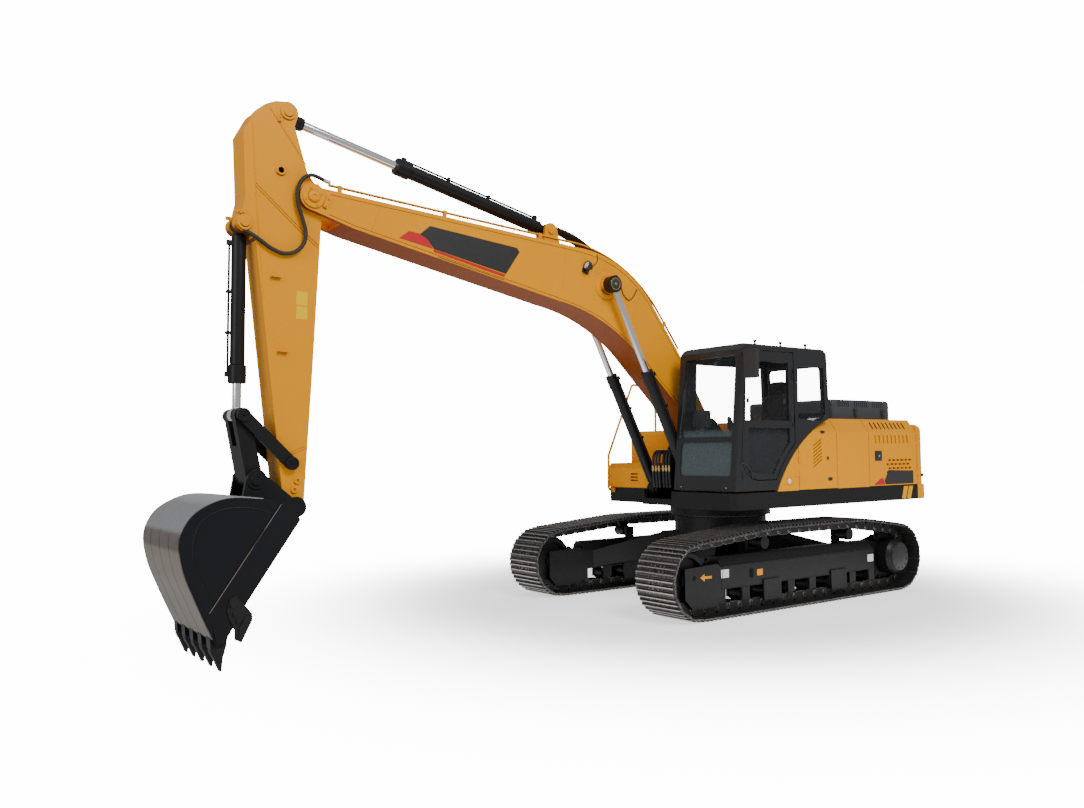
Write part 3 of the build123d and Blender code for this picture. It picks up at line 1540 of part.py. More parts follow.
def rod_part(foot, degrees_up, y, length, rod_length, bore, rod, rod_eye_r):
    """Rod with its piston and eye, the eye at the given length from the barrel's foot."""
    plane = member_plane(foot, degrees_up, y)
    a = radians(degrees_up)
    with BuildPart() as piston_rod:
        with BuildSketch(plane):
            with BuildLine():
                Polyline(
                    (length - rod_length, 0),
                    (length - rod_length, bore - run_gap),
                    (length - rod_length + 70, bore - run_gap),
                    (length - rod_length + 70, rod),
                    (length - 0.5 * rod_eye_r, rod),
                    (length - 0.5 * rod_eye_r, 0),
                    close=True,
                )
            make_face()
        revolve(axis=Axis((foot[0], y, foot[1]), (cos(a), 0, sin(a))))
        with BuildSketch(plane):
            with Locations((length, 0)):
                Circle(rod_eye_r)
        extrude(amount=eye_half, both=True)
    return piston_rod.part


boom_cylinder_pin = along(boom_foot, boom_chord_deg, *boom_boss)
boom_cylinder_deg, boom_cylinder_length = heading(cylinder_foot, boom_cylinder_pin)
boom_cylinder = dict(
    r=66.0, bore=54.0, rod=40.0, start=122.0, reach=1595.0, rod_length=1795.0,
    head_rise=cab_inner_y - cylinder_y - 66.0 - 6.0,
)

with BuildPart() as boom_barrels:
    for s in (-1, 1):
        add(barrel_part(
            cylinder_foot, boom_cylinder_deg, s * cylinder_y, boom_cylinder["r"], boom_cylinder["bore"],
            boom_cylinder["rod"], eye_r, cylinder_pin_r, boom_cylinder["start"], boom_cylinder["reach"],
            boom_cylinder["head_rise"],
        ))
keep(boom_barrels.part, "boom_cylinder_barrels")

with BuildPart() as boom_rods:
    for s in (-1, 1):
        add(rod_part(
            cylinder_foot, boom_cylinder_deg, s * cylinder_y, boom_cylinder_length, boom_cylinder["rod_length"],
            boom_cylinder["bore"], boom_cylinder["rod"], eye_r,
        ))
keep(boom_rods.part, "boom_cylinder_rods")

arm_cylinder_place = along(boom_foot, boom_chord_deg, *arm_cylinder_foot)
arm_cylinder_pin = along(boom_tip, arm_chord_deg, *arm_top_pin)
arm_cylinder_deg, arm_cylinder_length = heading(arm_cylinder_place, arm_cylinder_pin)

with BuildPart() as arm_barrel:
    add(barrel_part(
        arm_cylinder_place, arm_cylinder_deg, 0, 74.0, 60.0, 45.0, eye_r, cylinder_pin_r, 136.0, 1980.0,
        head_rise,
    ))
keep(arm_barrel.part, "arm_cylinder_barrel")

with BuildPart() as arm_rod:
    add(rod_part(
        arm_cylinder_place, arm_cylinder_deg, 0, arm_cylinder_length, 2080.0, 60.0, 45.0, eye_r,
    ))
keep(arm_rod.part, "arm_cylinder_rod")

bucket_cylinder_place = along(boom_tip, arm_chord_deg, *bucket_cylinder_foot)
bucket_cylinder_deg, bucket_cylinder_length = heading(bucket_cylinder_place, link_joint)

with BuildPart() as bucket_barrel:
    add(barrel_part(
        bucket_cylinder_place, bucket_cylinder_deg, 0, 66.0, 54.0, 40.0, bucket_eye_r, bucket_cylinder_pin_r,
        110.0, 1460.0, head_rise,
    ))
keep(bucket_barrel.part, "bucket_cylinder_barrel")

with BuildPart() as bucket_rod:
    add(rod_part(
        bucket_cylinder_place, bucket_cylinder_deg, 0, bucket_cylinder_length, 1530.0, 54.0, 40.0, bucket_eye_r,
    ))
keep(bucket_rod.part, "bucket_cylinder_rod")
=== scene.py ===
from math import acos, atan2, cos, exp, hypot, pi, radians, sin

import bmesh
import bpy
from mathutils import Matrix, Vector


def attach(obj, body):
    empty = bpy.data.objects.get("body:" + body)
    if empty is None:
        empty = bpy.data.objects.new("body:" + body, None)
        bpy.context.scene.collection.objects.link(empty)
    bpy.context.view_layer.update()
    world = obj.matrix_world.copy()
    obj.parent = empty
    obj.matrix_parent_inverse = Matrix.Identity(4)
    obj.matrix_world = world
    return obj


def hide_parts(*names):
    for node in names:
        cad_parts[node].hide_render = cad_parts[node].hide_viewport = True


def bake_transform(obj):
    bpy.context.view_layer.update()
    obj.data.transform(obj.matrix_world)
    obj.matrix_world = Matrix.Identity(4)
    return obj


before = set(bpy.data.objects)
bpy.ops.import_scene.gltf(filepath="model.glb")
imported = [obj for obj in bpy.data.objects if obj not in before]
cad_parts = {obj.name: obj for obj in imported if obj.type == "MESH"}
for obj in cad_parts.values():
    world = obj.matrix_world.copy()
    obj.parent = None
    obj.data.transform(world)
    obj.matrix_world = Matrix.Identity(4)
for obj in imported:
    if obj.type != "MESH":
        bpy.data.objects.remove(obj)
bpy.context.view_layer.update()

FULL_TURN = 2 * pi
SIDES = (("left", 1), ("right", -1))

# Pins, as X and Z, and outer faces, as Y, of the machine in the frame, in millimetres

BOOM_FOOT, BOOM_DEGREES, BOOM_LENGTH, BOOM_SIDE = (400, 2069), 22.5, 5700, 215
BOOM_ROD_BOSS = (2174, 917)
ARM_FOOT, ARM_DEGREES, ARM_SIDE = (5666.11, 4250.3), -86.99, 150
BOOM_ROD_EYE = (2057.6, 3748.15)
ARM_BARREL_EYE, ARM_ROD_EYE = (2762.22, 4338.76), (5890.16, 5036.14)
IDLER_LINK_PINS = ((6316, 2181), (5863, 1737))
BUCKET_PIN, BUCKET_EAR_PIN, BUCKET_SIDE = (5819.44, 1334.32), (6195.4, 1599.3), 575
SPROCKET_PIN = (-1750, 425)
FRAME_PLATE, HUB = 1325, 1462
PANEL, PANEL_BACK, HOOD_SIDE = 1370, 1329, 1150
CAB_DOOR, DOOR_PANE, CAB_FRONT, ROOF_TOP = 1368, 1351, 1208, 3030


# Materials: small helpers over shader nodes, in metres

WINDOW_RAIL = 2.06


class Mat:
    """A material under construction: short calls add its nodes."""

    def __init__(self, name):
        self.m = bpy.data.materials.new(name)
        self.m.use_nodes = True
        self.nt = self.m.node_tree
        self.bsdf = next(n for n in self.nt.nodes if n.type == "BSDF_PRINCIPLED")
        self.geo = self.node("ShaderNodeNewGeometry")
        self.pos = self.geo.outputs["Position"]

    def put(self, value, socket):
        """Links a node's output to the socket, or writes a plain value there."""
        if isinstance(value, bpy.types.NodeSocket):
            self.nt.links.new(value, socket)
        else:
            socket.default_value = value

    def node(self, kind, **inputs):
        """A new node with inputs set by name, where an underscore stands for a space."""
        made = self.nt.nodes.new(kind)
        for key, value in inputs.items():
            self.put(value, made.inputs[key.replace("_", " ")])
        return made

    def set(self, **inputs):
        """Inputs of the surface shader, named in the same way."""
        for key, value in inputs.items():
            self.put(value, self.bsdf.inputs[key.replace("_", " ")])

    def coord(self):
        return self.node("ShaderNodeTexCoord").outputs["Object"]

    def z_of(self, vector):
        return self.node("ShaderNodeSeparateXYZ", Vector=vector).outputs["Z"]

    def noise(self, scale, detail, rough, stretch=None):
        spot = self.coord()
        if stretch:
            spot = self.node("ShaderNodeMapping", Vector=spot, Scale=stretch).outputs["Vector"]
        return self.node("ShaderNodeTexNoise", Vector=spot, Scale=scale, Detail=detail,
                         Roughness=rough).outputs["Fac"]

    def ramp(self, amount, *stops):
        ramp = self.node("ShaderNodeValToRGB", Fac=amount)
        stop_list = ramp.color_ramp.elements
        while len(stop_list) < len(stops):
            stop_list.new(0.5)
        for element, (place, colour) in zip(stop_list, stops):
            element.position = place
            element.color = (*colour, 1.0)
        return ramp.outputs["Color"]

    def patches(self, scale, detail, rough, low, high):
        """0 where the noise is under low and 1 where it is over high."""
        return self.ramp(self.noise(scale, detail, rough), (low, (0, 0, 0)), (high, (1, 1, 1)))

    def math(self, operation, a, b=0.0, clamp=False):
        made = self.node("ShaderNodeMath")
        made.operation = operation
        made.use_clamp = clamp
        for value, socket in zip((a, b), made.inputs):
            self.put(value, socket)
        return made.outputs[0]

    def times(self, a, b, clamp=False):
        return self.math("MULTIPLY", a, b, clamp)

    def plus(self, a, b, clamp=False):
        return self.math("ADD", a, b, clamp)

    def mix(self, amount, a, b):
        """Colour a, going over to b as the amount goes from 0 to 1."""
        made = self.node("ShaderNodeMix")
        made.data_type = "RGBA"
        self.put(amount, made.inputs["Factor"])
        for key, colour in (("A", a), ("B", b)):
            socket = next(s for s in made.inputs if s.name == key and s.type == "RGBA")
            self.put(colour if isinstance(colour, bpy.types.NodeSocket) else (*colour, 1.0), socket)
        return next(s for s in made.outputs if s.type == "RGBA")

    def soft_edges(self, size):
        """Normal with its edges rounded by size metres."""
        bevel = self.node("ShaderNodeBevel", Radius=size)
        bevel.samples = 4
        return bevel.outputs["Normal"]

    def edge(self, size):
        """About 1 on sharp outer edges and 0 on flat faces."""
        dot = self.node("ShaderNodeVectorMath")
        dot.operation = "DOT_PRODUCT"
        self.put(self.soft_edges(size), dot.inputs[0])
        self.put(self.geo.outputs["Normal"], dot.inputs[1])
        return self.math("SUBTRACT", 1.0, dot.outputs["Value"], clamp=True)

    def bump(self, relief, strength, distance, **normal):
        """Small relief over the normal that is given."""
        made = self.node("ShaderNodeBump", Height=relief, Strength=strength, Distance=distance, **normal)
        self.set(Normal=made.outputs["Normal"])


def up_facing(m):
    """1 on faces that look up, 0 on walls and below."""
    return m.math("POWER", m.math("MAXIMUM", m.z_of(m.geo.outputs["Normal"]), 0.0), 2.0)


def down_facing(m):
    """0 on faces that look up or sideways, rising to 1 below."""
    return m.times(m.math("SUBTRACT", -0.12, m.z_of(m.geo.outputs["Normal"])), 2.0, clamp=True)


def paint(name, light, dark, rough, coat, dust, worn=0.0, base=(0.16, 0.14, 0.12), under=None,
          spec=0.3, bands=()):
    """Sprayed paint: slow colour drift, orange peel, settled dust, thin worn edges, and painted shade in the
    under colour on faces that look down.
    """
    m = Mat(name)
    drift = m.noise(0.9, 5.0, 0.6)
    colour = m.mix(m.times(drift, 0.9, clamp=True), light, dark)
    # Colour bands by height: on the bucket's back they are painted reflection.
    if bands:
        colour = m.mix(0.85, colour, m.ramp(m.times(m.z_of(m.pos), 0.5), *bands))
    # Painted shade: faces that look down are mixed over to the under colour.
    if under:
        colour = m.mix(down_facing(m), colour, under)
    grime = m.patches(55.0, 6.0, 0.7, 0.52, 0.78)
    dusty = m.times(m.plus(m.times(up_facing(m), 0.6), 0.25), grime)
    colour = m.mix(m.times(dusty, dust, clamp=True), colour, (0.30, 0.25, 0.19))
    roughness = m.plus(m.times(m.noise(6.0, 6.0, 0.65), 0.16), rough - 0.08)
    roughness = m.plus(roughness, m.times(dusty, dust * 0.5), clamp=True)
    if worn:
        chip = m.times(m.edge(0.0028), m.patches(38.0, 6.0, 0.75, 0.5, 0.62))
        chip = m.times(chip, worn * 6.0, clamp=True)
        colour = m.mix(chip, colour, base)
        roughness = m.plus(roughness, m.times(chip, 0.25), clamp=True)
    m.set(Base_Color=colour, Roughness=roughness, Metallic=0.0, Coat_Weight=coat, Coat_Roughness=0.12,
          IOR=1.5, Specular_IOR_Level=spec)
    m.bump(m.noise(420.0, 2.0, 0.5), 0.05, 0.0006, Normal=m.soft_edges(0.004))
    return m.m


def plastic(name, light, dark, rough=0.55, grain=900.0, bump=0.18, spec=0.5):
    """Moulded plastic with a fine leather grain."""
    m = Mat(name)
    roughness = m.plus(m.times(m.noise(14.0, 5.0, 0.6), 0.2), rough - 0.1)
    colour = m.mix(m.noise(3.0, 5.0, 0.6), light, dark)
    m.set(Base_Color=colour, Roughness=roughness, Specular_IOR_Level=spec)
    cells = m.node("ShaderNodeTexVoronoi", Vector=m.coord(), Scale=grain)
    m.bump(cells.outputs["Distance"], bump, 0.0008, Normal=m.soft_edges(0.003))
    return m.m


def film(name, light, dark, rough, spec=0.5):
    """Printed film: plastic with hardly any grain."""
    return plastic(name, light, dark, rough, grain=1500.0, bump=0.03, spec=spec)


def metal(name, light, dark, rough, streak=(1, 1, 60), scale=6.0, metallic=1.0, bump=0.05):
    """Turned or rolled metal with a direction to its fine lines."""
    m = Mat(name)
    lines = m.noise(scale, 4.0, 0.6, stretch=streak)
    roughness = m.plus(m.times(lines, 0.14), rough - 0.07)
    m.set(Base_Color=m.mix(lines, light, dark), Roughness=roughness, Metallic=metallic)
    m.bump(lines, bump, 0.0005, Normal=m.soft_edges(0.002))
    return m.m


def shoe_steel(name):
    """Black painted shoes, scuffed to bare bright steel along the grousers' tips."""
    m = Mat(name)
    rust = m.noise(9.0, 8.0, 0.7)
    bright = m.times(m.edge(0.012), m.patches(21.0, 6.0, 0.7, 0.36, 0.58))
    bright = m.times(bright, 3.2, clamp=True)
    colour = m.mix(bright, m.mix(rust, (0.009, 0.009, 0.009), (0.022, 0.020, 0.018)), (0.42, 0.40, 0.37))
    rusty = m.plus(m.times(rust, 0.3), 0.42)
    m.set(Base_Color=colour, Metallic=m.plus(m.times(bright, 0.7), 0.3, clamp=True),
          Roughness=m.math("SUBTRACT", rusty, m.times(bright, 0.25), clamp=True))
    m.bump(m.noise(120.0, 6.0, 0.7), 0.25, 0.0012, Normal=m.soft_edges(0.003))
    return m.m


def clear_glass(name, tint, smeared):
    """Thin tinted pane: see-through above, tinted darker below the rail, with faint smears."""
    m = Mat(name)
    smear = m.noise(3.0, 5.0, 0.6, stretch=(1, 1, 3))
    below_rail = m.times(m.math("SUBTRACT", WINDOW_RAIL, m.z_of(m.pos)), 12.0, clamp=True)
    m.set(Base_Color=m.mix(smear, tint, smeared), IOR=1.5, Transmission_Weight=0.0, Specular_IOR_Level=0.5,
          Roughness=m.plus(m.times(smear, 0.03), 0.01),
          Alpha=m.plus(m.times(below_rail, 0.66), 0.08))
    m.m.surface_render_method = "BLENDED"
    return m.m


def weave(name, light, dark):
    """Woven seat cloth: two crossed waves, with a soft sheen."""
    m = Mat(name)
    waves = []
    for direction in ("X", "Z"):
        wave = m.node("ShaderNodeTexWave", Vector=m.coord(), Scale=230.0, Distortion=1.5)
        wave.bands_direction = direction
        waves.append(wave.outputs["Fac"])
    threads = m.times(*waves)
    colour = m.mix(m.times(m.noise(5.0, 5.0, 0.6), 0.5), m.mix(threads, dark, light), dark)
    m.set(Base_Color=colour, Roughness=0.9, Sheen_Weight=0.35, Sheen_Roughness=0.5)
    m.bump(threads, 0.35, 0.0012)
    return m.m


# Painted reflection on the bucket's glossy back: light and dark bands of the surroundings by height, from the
# ground up to 1.5 m, as shares of 2 m
BUCKET_REFLECTION_BANDS = (
    (0.14, (0.17, 0.14, 0.11)), (0.34, (0.24, 0.20, 0.155)), (0.47, (0.21, 0.175, 0.135)),
    (0.51, (0.19, 0.155, 0.12)), (0.525, (0.060, 0.034, 0.022)), (0.585, (0.075, 0.050, 0.036)),
    (0.60, (0.22, 0.235, 0.25)), (0.70, (0.16, 0.18, 0.19)), (0.735, (0.34, 0.35, 0.36)))

# The yellow's under colour is painted shade, dark brown on faces that look down.
YELLOW = paint("yellow_paint", (0.90, 0.355, 0.0), (0.82, 0.310, 0.0), rough=0.46, coat=0.04, dust=0.02,
               worn=0.08, base=(0.35, 0.16, 0.02), under=(0.22, 0.045, 0.0), spec=0.10)
BLACK = paint("black_paint", (0.0065, 0.0065, 0.007), (0.010, 0.0095, 0.0095), rough=0.44, coat=0.06,
              dust=0.10, worn=0.10, spec=0.22)
BUCKET = paint("bucket_paint", (0.006, 0.007, 0.010), (0.009, 0.009, 0.011), rough=0.36, coat=0.05,
               dust=0.05, worn=0.35, base=(0.20, 0.19, 0.18), spec=0.22)
# Light grey base and height bands are painted reflection of the bright surroundings on the bucket's black
# back.
WRAP = paint("bucket_back_painted_reflection", (0.16, 0.16, 0.16), (0.10, 0.10, 0.10), rough=0.34, coat=0.12,
             dust=0.04, worn=0.4, base=(0.5, 0.49, 0.47), bands=BUCKET_REFLECTION_BANDS)
CAB = paint("cab_paint", (0.012, 0.013, 0.015), (0.018, 0.019, 0.021), rough=0.38, coat=0.15, dust=0.06)
HOOD = paint("hood_paint", (0.045, 0.051, 0.057), (0.058, 0.063, 0.068), rough=0.55, coat=0.05, dust=0.2)
ENGINE = paint("engine_paint", (0.10, 0.11, 0.12), (0.14, 0.145, 0.15), rough=0.5, coat=0.1, dust=0.4)
SHOE = shoe_steel("shoe_steel")
RING = metal("ring_steel", (0.34, 0.33, 0.32), (0.22, 0.21, 0.20), 0.42, (1, 1, 40), 8.0, 0.9)
CHROME = metal("rod_chrome", (0.86, 0.87, 0.89), (0.80, 0.81, 0.84), 0.12, (1, 1, 1), 60.0, 1.0, 0.01)
CAST = metal("tooth_cast", (0.016, 0.015, 0.015), (0.008, 0.008, 0.008), 0.5, (1, 1, 1), 30.0, 0.3, 0.3)
WORN = metal("worn_steel", (0.50, 0.48, 0.44), (0.22, 0.20, 0.18), 0.35, (1, 30, 1), 3.0, 0.8, 0.1)
BRASS = metal("fitting_brass", (0.62, 0.43, 0.16), (0.48, 0.33, 0.13), 0.28, (1, 1, 8), 40.0)
ZINC = metal("zinc_bolt", (0.55, 0.55, 0.53), (0.36, 0.36, 0.35), 0.35, (1, 1, 6), 60.0)
GLASS = clear_glass("pane_glass", (0.060, 0.085, 0.095), (0.085, 0.110, 0.120))
DOOR_GLASS = clear_glass("door_pane_glass", (0.012, 0.014, 0.016), (0.026, 0.030, 0.034))
SEAT = weave("seat_weave", (0.030, 0.033, 0.036), (0.012, 0.013, 0.015))
PLASTIC = plastic("trim_plastic", (0.018, 0.018, 0.019), (0.026, 0.026, 0.027))
RUBBER = plastic("rubber", (0.012, 0.012, 0.012), (0.02, 0.02, 0.021), rough=0.6, grain=300.0, bump=0.1)
RED = plastic("red_plastic", (0.42, 0.012, 0.010), (0.34, 0.010, 0.010), rough=0.4)
# Flat black for painted shade: behind the door's slots and on the frame's hand-hole openings.
SHADE_BLACK = plastic("painted_shade_black", (0.004, 0.004, 0.004), (0.008, 0.008, 0.008), rough=0.9, spec=0.2)
SCREEN = plastic("screen_glass", (0.05, 0.09, 0.11), (0.04, 0.07, 0.09), rough=0.15, grain=1500.0, bump=0.02)
LENS = plastic("lamp_glass", (0.75, 0.78, 0.80), (0.62, 0.65, 0.68), rough=0.08, grain=260.0, bump=0.35)
WHITE = film("blank_label", (0.78, 0.78, 0.76), (0.70, 0.70, 0.69), 0.4)
ORANGE = film("orange_label", (0.90, 0.33, 0.0), (0.84, 0.30, 0.0), 0.45, 0.1)
LABEL_YELLOW = film("blank_yellow_label", (0.95, 0.60, 0.0), (0.90, 0.56, 0.0), 0.4, 0.1)
STRIPE = film("stripe_yellow", (0.90, 0.42, 0.0), (0.84, 0.38, 0.0), 0.45, 0.1)
DECAL_BLACK = film("decal_black", (0.020, 0.019, 0.019), (0.028, 0.027, 0.027), 0.35)
DECAL_RED = film("decal_red", (0.60, 0.010, 0.012), (0.52, 0.009, 0.010), 0.35)

FINISH = {
    BLACK: ("car_body", "side_frame_left", "side_frame_right", "idlers", "final_drives", "rollers",
            "slew_ring_outer", "deck", "boom_cylinder_barrels", "arm_cylinder_barrel",
            "bucket_cylinder_barrel", "idler_links", "bucket_link"),
    SHOE: ("track_left", "track_right"), RING: ("slew_ring_inner",),
    CHROME: ("boom_cylinder_rods", "arm_cylinder_rod", "bucket_cylinder_rod"),
    CAB: ("cab_shell", "cab_door"), HOOD: ("engine_hood",), ENGINE: ("engine_block",),
    GLASS: ("cab_glass",), DOOR_GLASS: ("cab_door_glass",), SEAT: ("seat",),
    PLASTIC: ("cab_mirror", "cab_controls", "boom_lamp"), CAST: ("bucket_teeth",), BUCKET: ("bucket",),
}
SLOTS = {YELLOW: "body_yellow", SHOE: "track_steel", WORN: "track_steel", BLACK: "frame_black",
         BUCKET: "frame_black", WRAP: "frame_black", CAST: "frame_black", CAB: "frame_black",
         PLASTIC: "trim_plastic", SEAT: "trim_plastic"}

finish_of = {node: material for material, nodes in FINISH.items() for node in nodes}
for name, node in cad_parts.items():
    node.data.materials.clear()
    node.data.materials.append(finish_of.get(name, YELLOW))


def placed(name, data):
    """A new object in the scene."""
    ob = bpy.data.objects.new(name, data)
    bpy.context.scene.collection.objects.link(ob)
    return ob


# Camera, light and floor

PHOTO_WIDTH, FOCAL_LENGTH = 1084.0, 936.37
SENSOR_WIDTH = 36.0
CAMERA_SPOT = (9.123, 8.513, 1.813)
YAW, PITCH, ROLL = radians(233.65), radians(2.95), radians(0.68)


def photo_camera():
    """The camera as it stood for the photograph. Width and focal length are in its pixels."""
    data = bpy.data.cameras.new("camera")
    camera = placed("camera", data)
    bpy.context.scene.camera = camera
    data.sensor_width = SENSOR_WIDTH
    data.lens = SENSOR_WIDTH * FOCAL_LENGTH / PHOTO_WIDTH
    data.clip_end = 400.0
    camera.location = CAMERA_SPOT
    ahead = Vector((cos(PITCH) * cos(YAW), cos(PITCH) * sin(YAW), sin(PITCH)))
    sideways = ahead.cross(Vector((0, 0, 1))).normalized()
    turned = Matrix.Rotation(ROLL, 3, ahead)
    across, upward = turned @ sideways, turned @ sideways.cross(ahead)
    camera.rotation_mode = "QUATERNION"
    camera.rotation_quaternion = Matrix((across, upward, -ahead)).transposed().to_quaternion()


def studio_world():
    """White all round: bright to the camera, soft as a light."""
    world = bpy.data.worlds.new("studio")
    bpy.context.scene.world = world
    world.use_nodes = True
    tree = world.node_tree
    backdrop = tree.nodes["Background"]
    backdrop.inputs["Color"].default_value = (1.0, 1.0, 1.0, 1.0)
    seen = tree.nodes.new("ShaderNodeLightPath")
    strength = tree.nodes.new("ShaderNodeMapRange")
    strength.inputs["To Min"].default_value = 0.44
    strength.inputs["To Max"].default_value = 15.0
    tree.links.new(seen.outputs["Is Camera Ray"], strength.inputs["Value"])
    tree.links.new(strength.outputs["Result"], backdrop.inputs["Strength"])


def area_light(name, spot, aim, size, power):
    data = bpy.data.lights.new(name, "AREA")
    data.shape = "RECTANGLE"
    data.size, data.size_y = size
    data.energy = power
    light = placed(name, data)
    light.location = spot
    light.rotation_mode = "QUATERNION"
    light.rotation_quaternion = (Vector(aim) - Vector(spot)).to_track_quat("-Z", "Y")


def floor_material():
    """White ground that catches the shadow near the machine and fades into the backdrop around it."""
    m = Mat("floor_white")
    away = m.node("ShaderNodeVectorMath")
    away.operation = "DISTANCE"
    m.put(m.pos, away.inputs[0])
    m.put((0.4, 0.0, 0.0), away.inputs[1])
    fade = m.node("ShaderNodeMapRange", Value=away.outputs["Value"], From_Min=2.4, From_Max=7.5,
                  To_Min=1.0, To_Max=0.0)
    fade.interpolation_type = "SMOOTHERSTEP"
    white = m.mix(m.noise(0.4, 3.0, 0.5), (0.95, 0.95, 0.95), (0.97, 0.97, 0.97))
    m.set(Base_Color=white, Roughness=0.75, Alpha=fade.outputs["Result"], Specular_IOR_Level=0.15,
          Emission_Color=(1.0, 1.0, 1.0, 1.0), Emission_Strength=1.0)
    return m.m


def ground():
    mesh = bpy.data.meshes.new("floor")
    grid = bmesh.new()
    bmesh.ops.create_grid(grid, x_segments=24, y_segments=24, size=14.0)
    grid.to_mesh(mesh)
    grid.free()
    floor = placed("floor", mesh)
    floor.location = (0, 0, -0.001)
    mesh.materials.append(floor_material())


photo_camera()
studio_world()
area_light("key", (3.0, 12.0, 12.0), (1.0, 0.5, 1.5), (7.0, 5.0), 1380.0)
area_light("fill", (15.0, 3.0, 6.0), (3.0, 0.0, 2.0), (6.0, 6.0), 420.0)
area_light("rim", (-9.0, -7.0, 9.0), (0.0, 0.0, 2.0), (6.0, 4.0), 500.0)
ground()


# Mesh code: one Piece gathers many small solids, in millimetres, and becomes one object

SHARP_DEGREES = 32


class Axes:
    """A local frame: call it with three lengths to get a point."""

    def __init__(self, origin, x, y, z):
        self.o, self.x, self.y, self.z = (Vector(v) for v in (origin, x, y, z))

    def __call__(self, a, b, c=0):
        return self.o + self.x * a + self.y * b + self.z * c

    def moved(self, a, b):
        return Axes(self(a, b), self.x, self.y, self.z)

    def spun(self, degrees_on):
        """Turned about its own z."""
        t = radians(degrees_on)
        return Axes(self.o, self.x * cos(t) + self.y * sin(t), self.y * cos(t) - self.x * sin(t), self.z)


def member(origin, degrees_up, sign, y):
    """The side of a boom or arm at distance y from the middle: x along it, y up its side, z out of it."""
    t = radians(degrees_up)
    return Axes((origin[0], sign * y, origin[1]), (cos(t), 0, sin(t)), (-sin(t), 0, cos(t)), (0, sign, 0))


def wall(sign, y):
    """The machine's side at distance y from the middle: x forward, y up, z out of it."""
    return Axes((0, sign * y, 0), (1, 0, 0), (0, 0, 1), (0, sign, 0))


def front(x, y=0, z=0):
    """Looking back at the machine's front: x to its left, y up, z forward."""
    return Axes((x, y, z), (0, 1, 0), (0, 0, 1), (1, 0, 0))


def level(x, y, z, lean=0):
    """Lying flat: x forward, y to the left, z up or leaning forward."""
    return Axes((x, y, z), (1, 0, 0), (0, 1, 0), (lean, 0, 1))


def rounded(width, tall, r, n=4):
    """Outline of a rounded rectangle about 0, 0."""
    r = min(r, width / 2 - 0.01, tall / 2 - 0.01)
    points = []
    for sx, sy, start in ((1, 1, 0), (-1, 1, 90), (-1, -1, 180), (1, -1, 270)):
        for k in range(n + 1):
            t = radians(start + 90 * k / n)
            points.append((sx * (width / 2 - r) + r * cos(t), sy * (tall / 2 - r) + r * sin(t)))
    return points


def spline(points, steps=8):
    """Smooth curve through the points (Catmull-Rom). Flat points lie at z 0."""
    p = [Vector(q).to_3d() for q in points]
    p = [p[0] * 2 - p[1]] + p + [p[-1] * 2 - p[-2]]
    out = []
    for i in range(1, len(p) - 2):
        for k in range(steps):
            t = k / steps
            out.append(0.5 * ((2 * p[i]) + (p[i + 1] - p[i - 1]) * t
                              + (2 * p[i - 1] - 5 * p[i] + 4 * p[i + 1] - p[i + 2]) * t * t
                              + (3 * p[i] - p[i - 1] - 3 * p[i + 1] + p[i + 2]) * t ** 3))
    out.append(p[-2])
    return out


def straight(start, end, steps):
    return [start.lerp(end, k / steps) for k in range(steps + 1)]


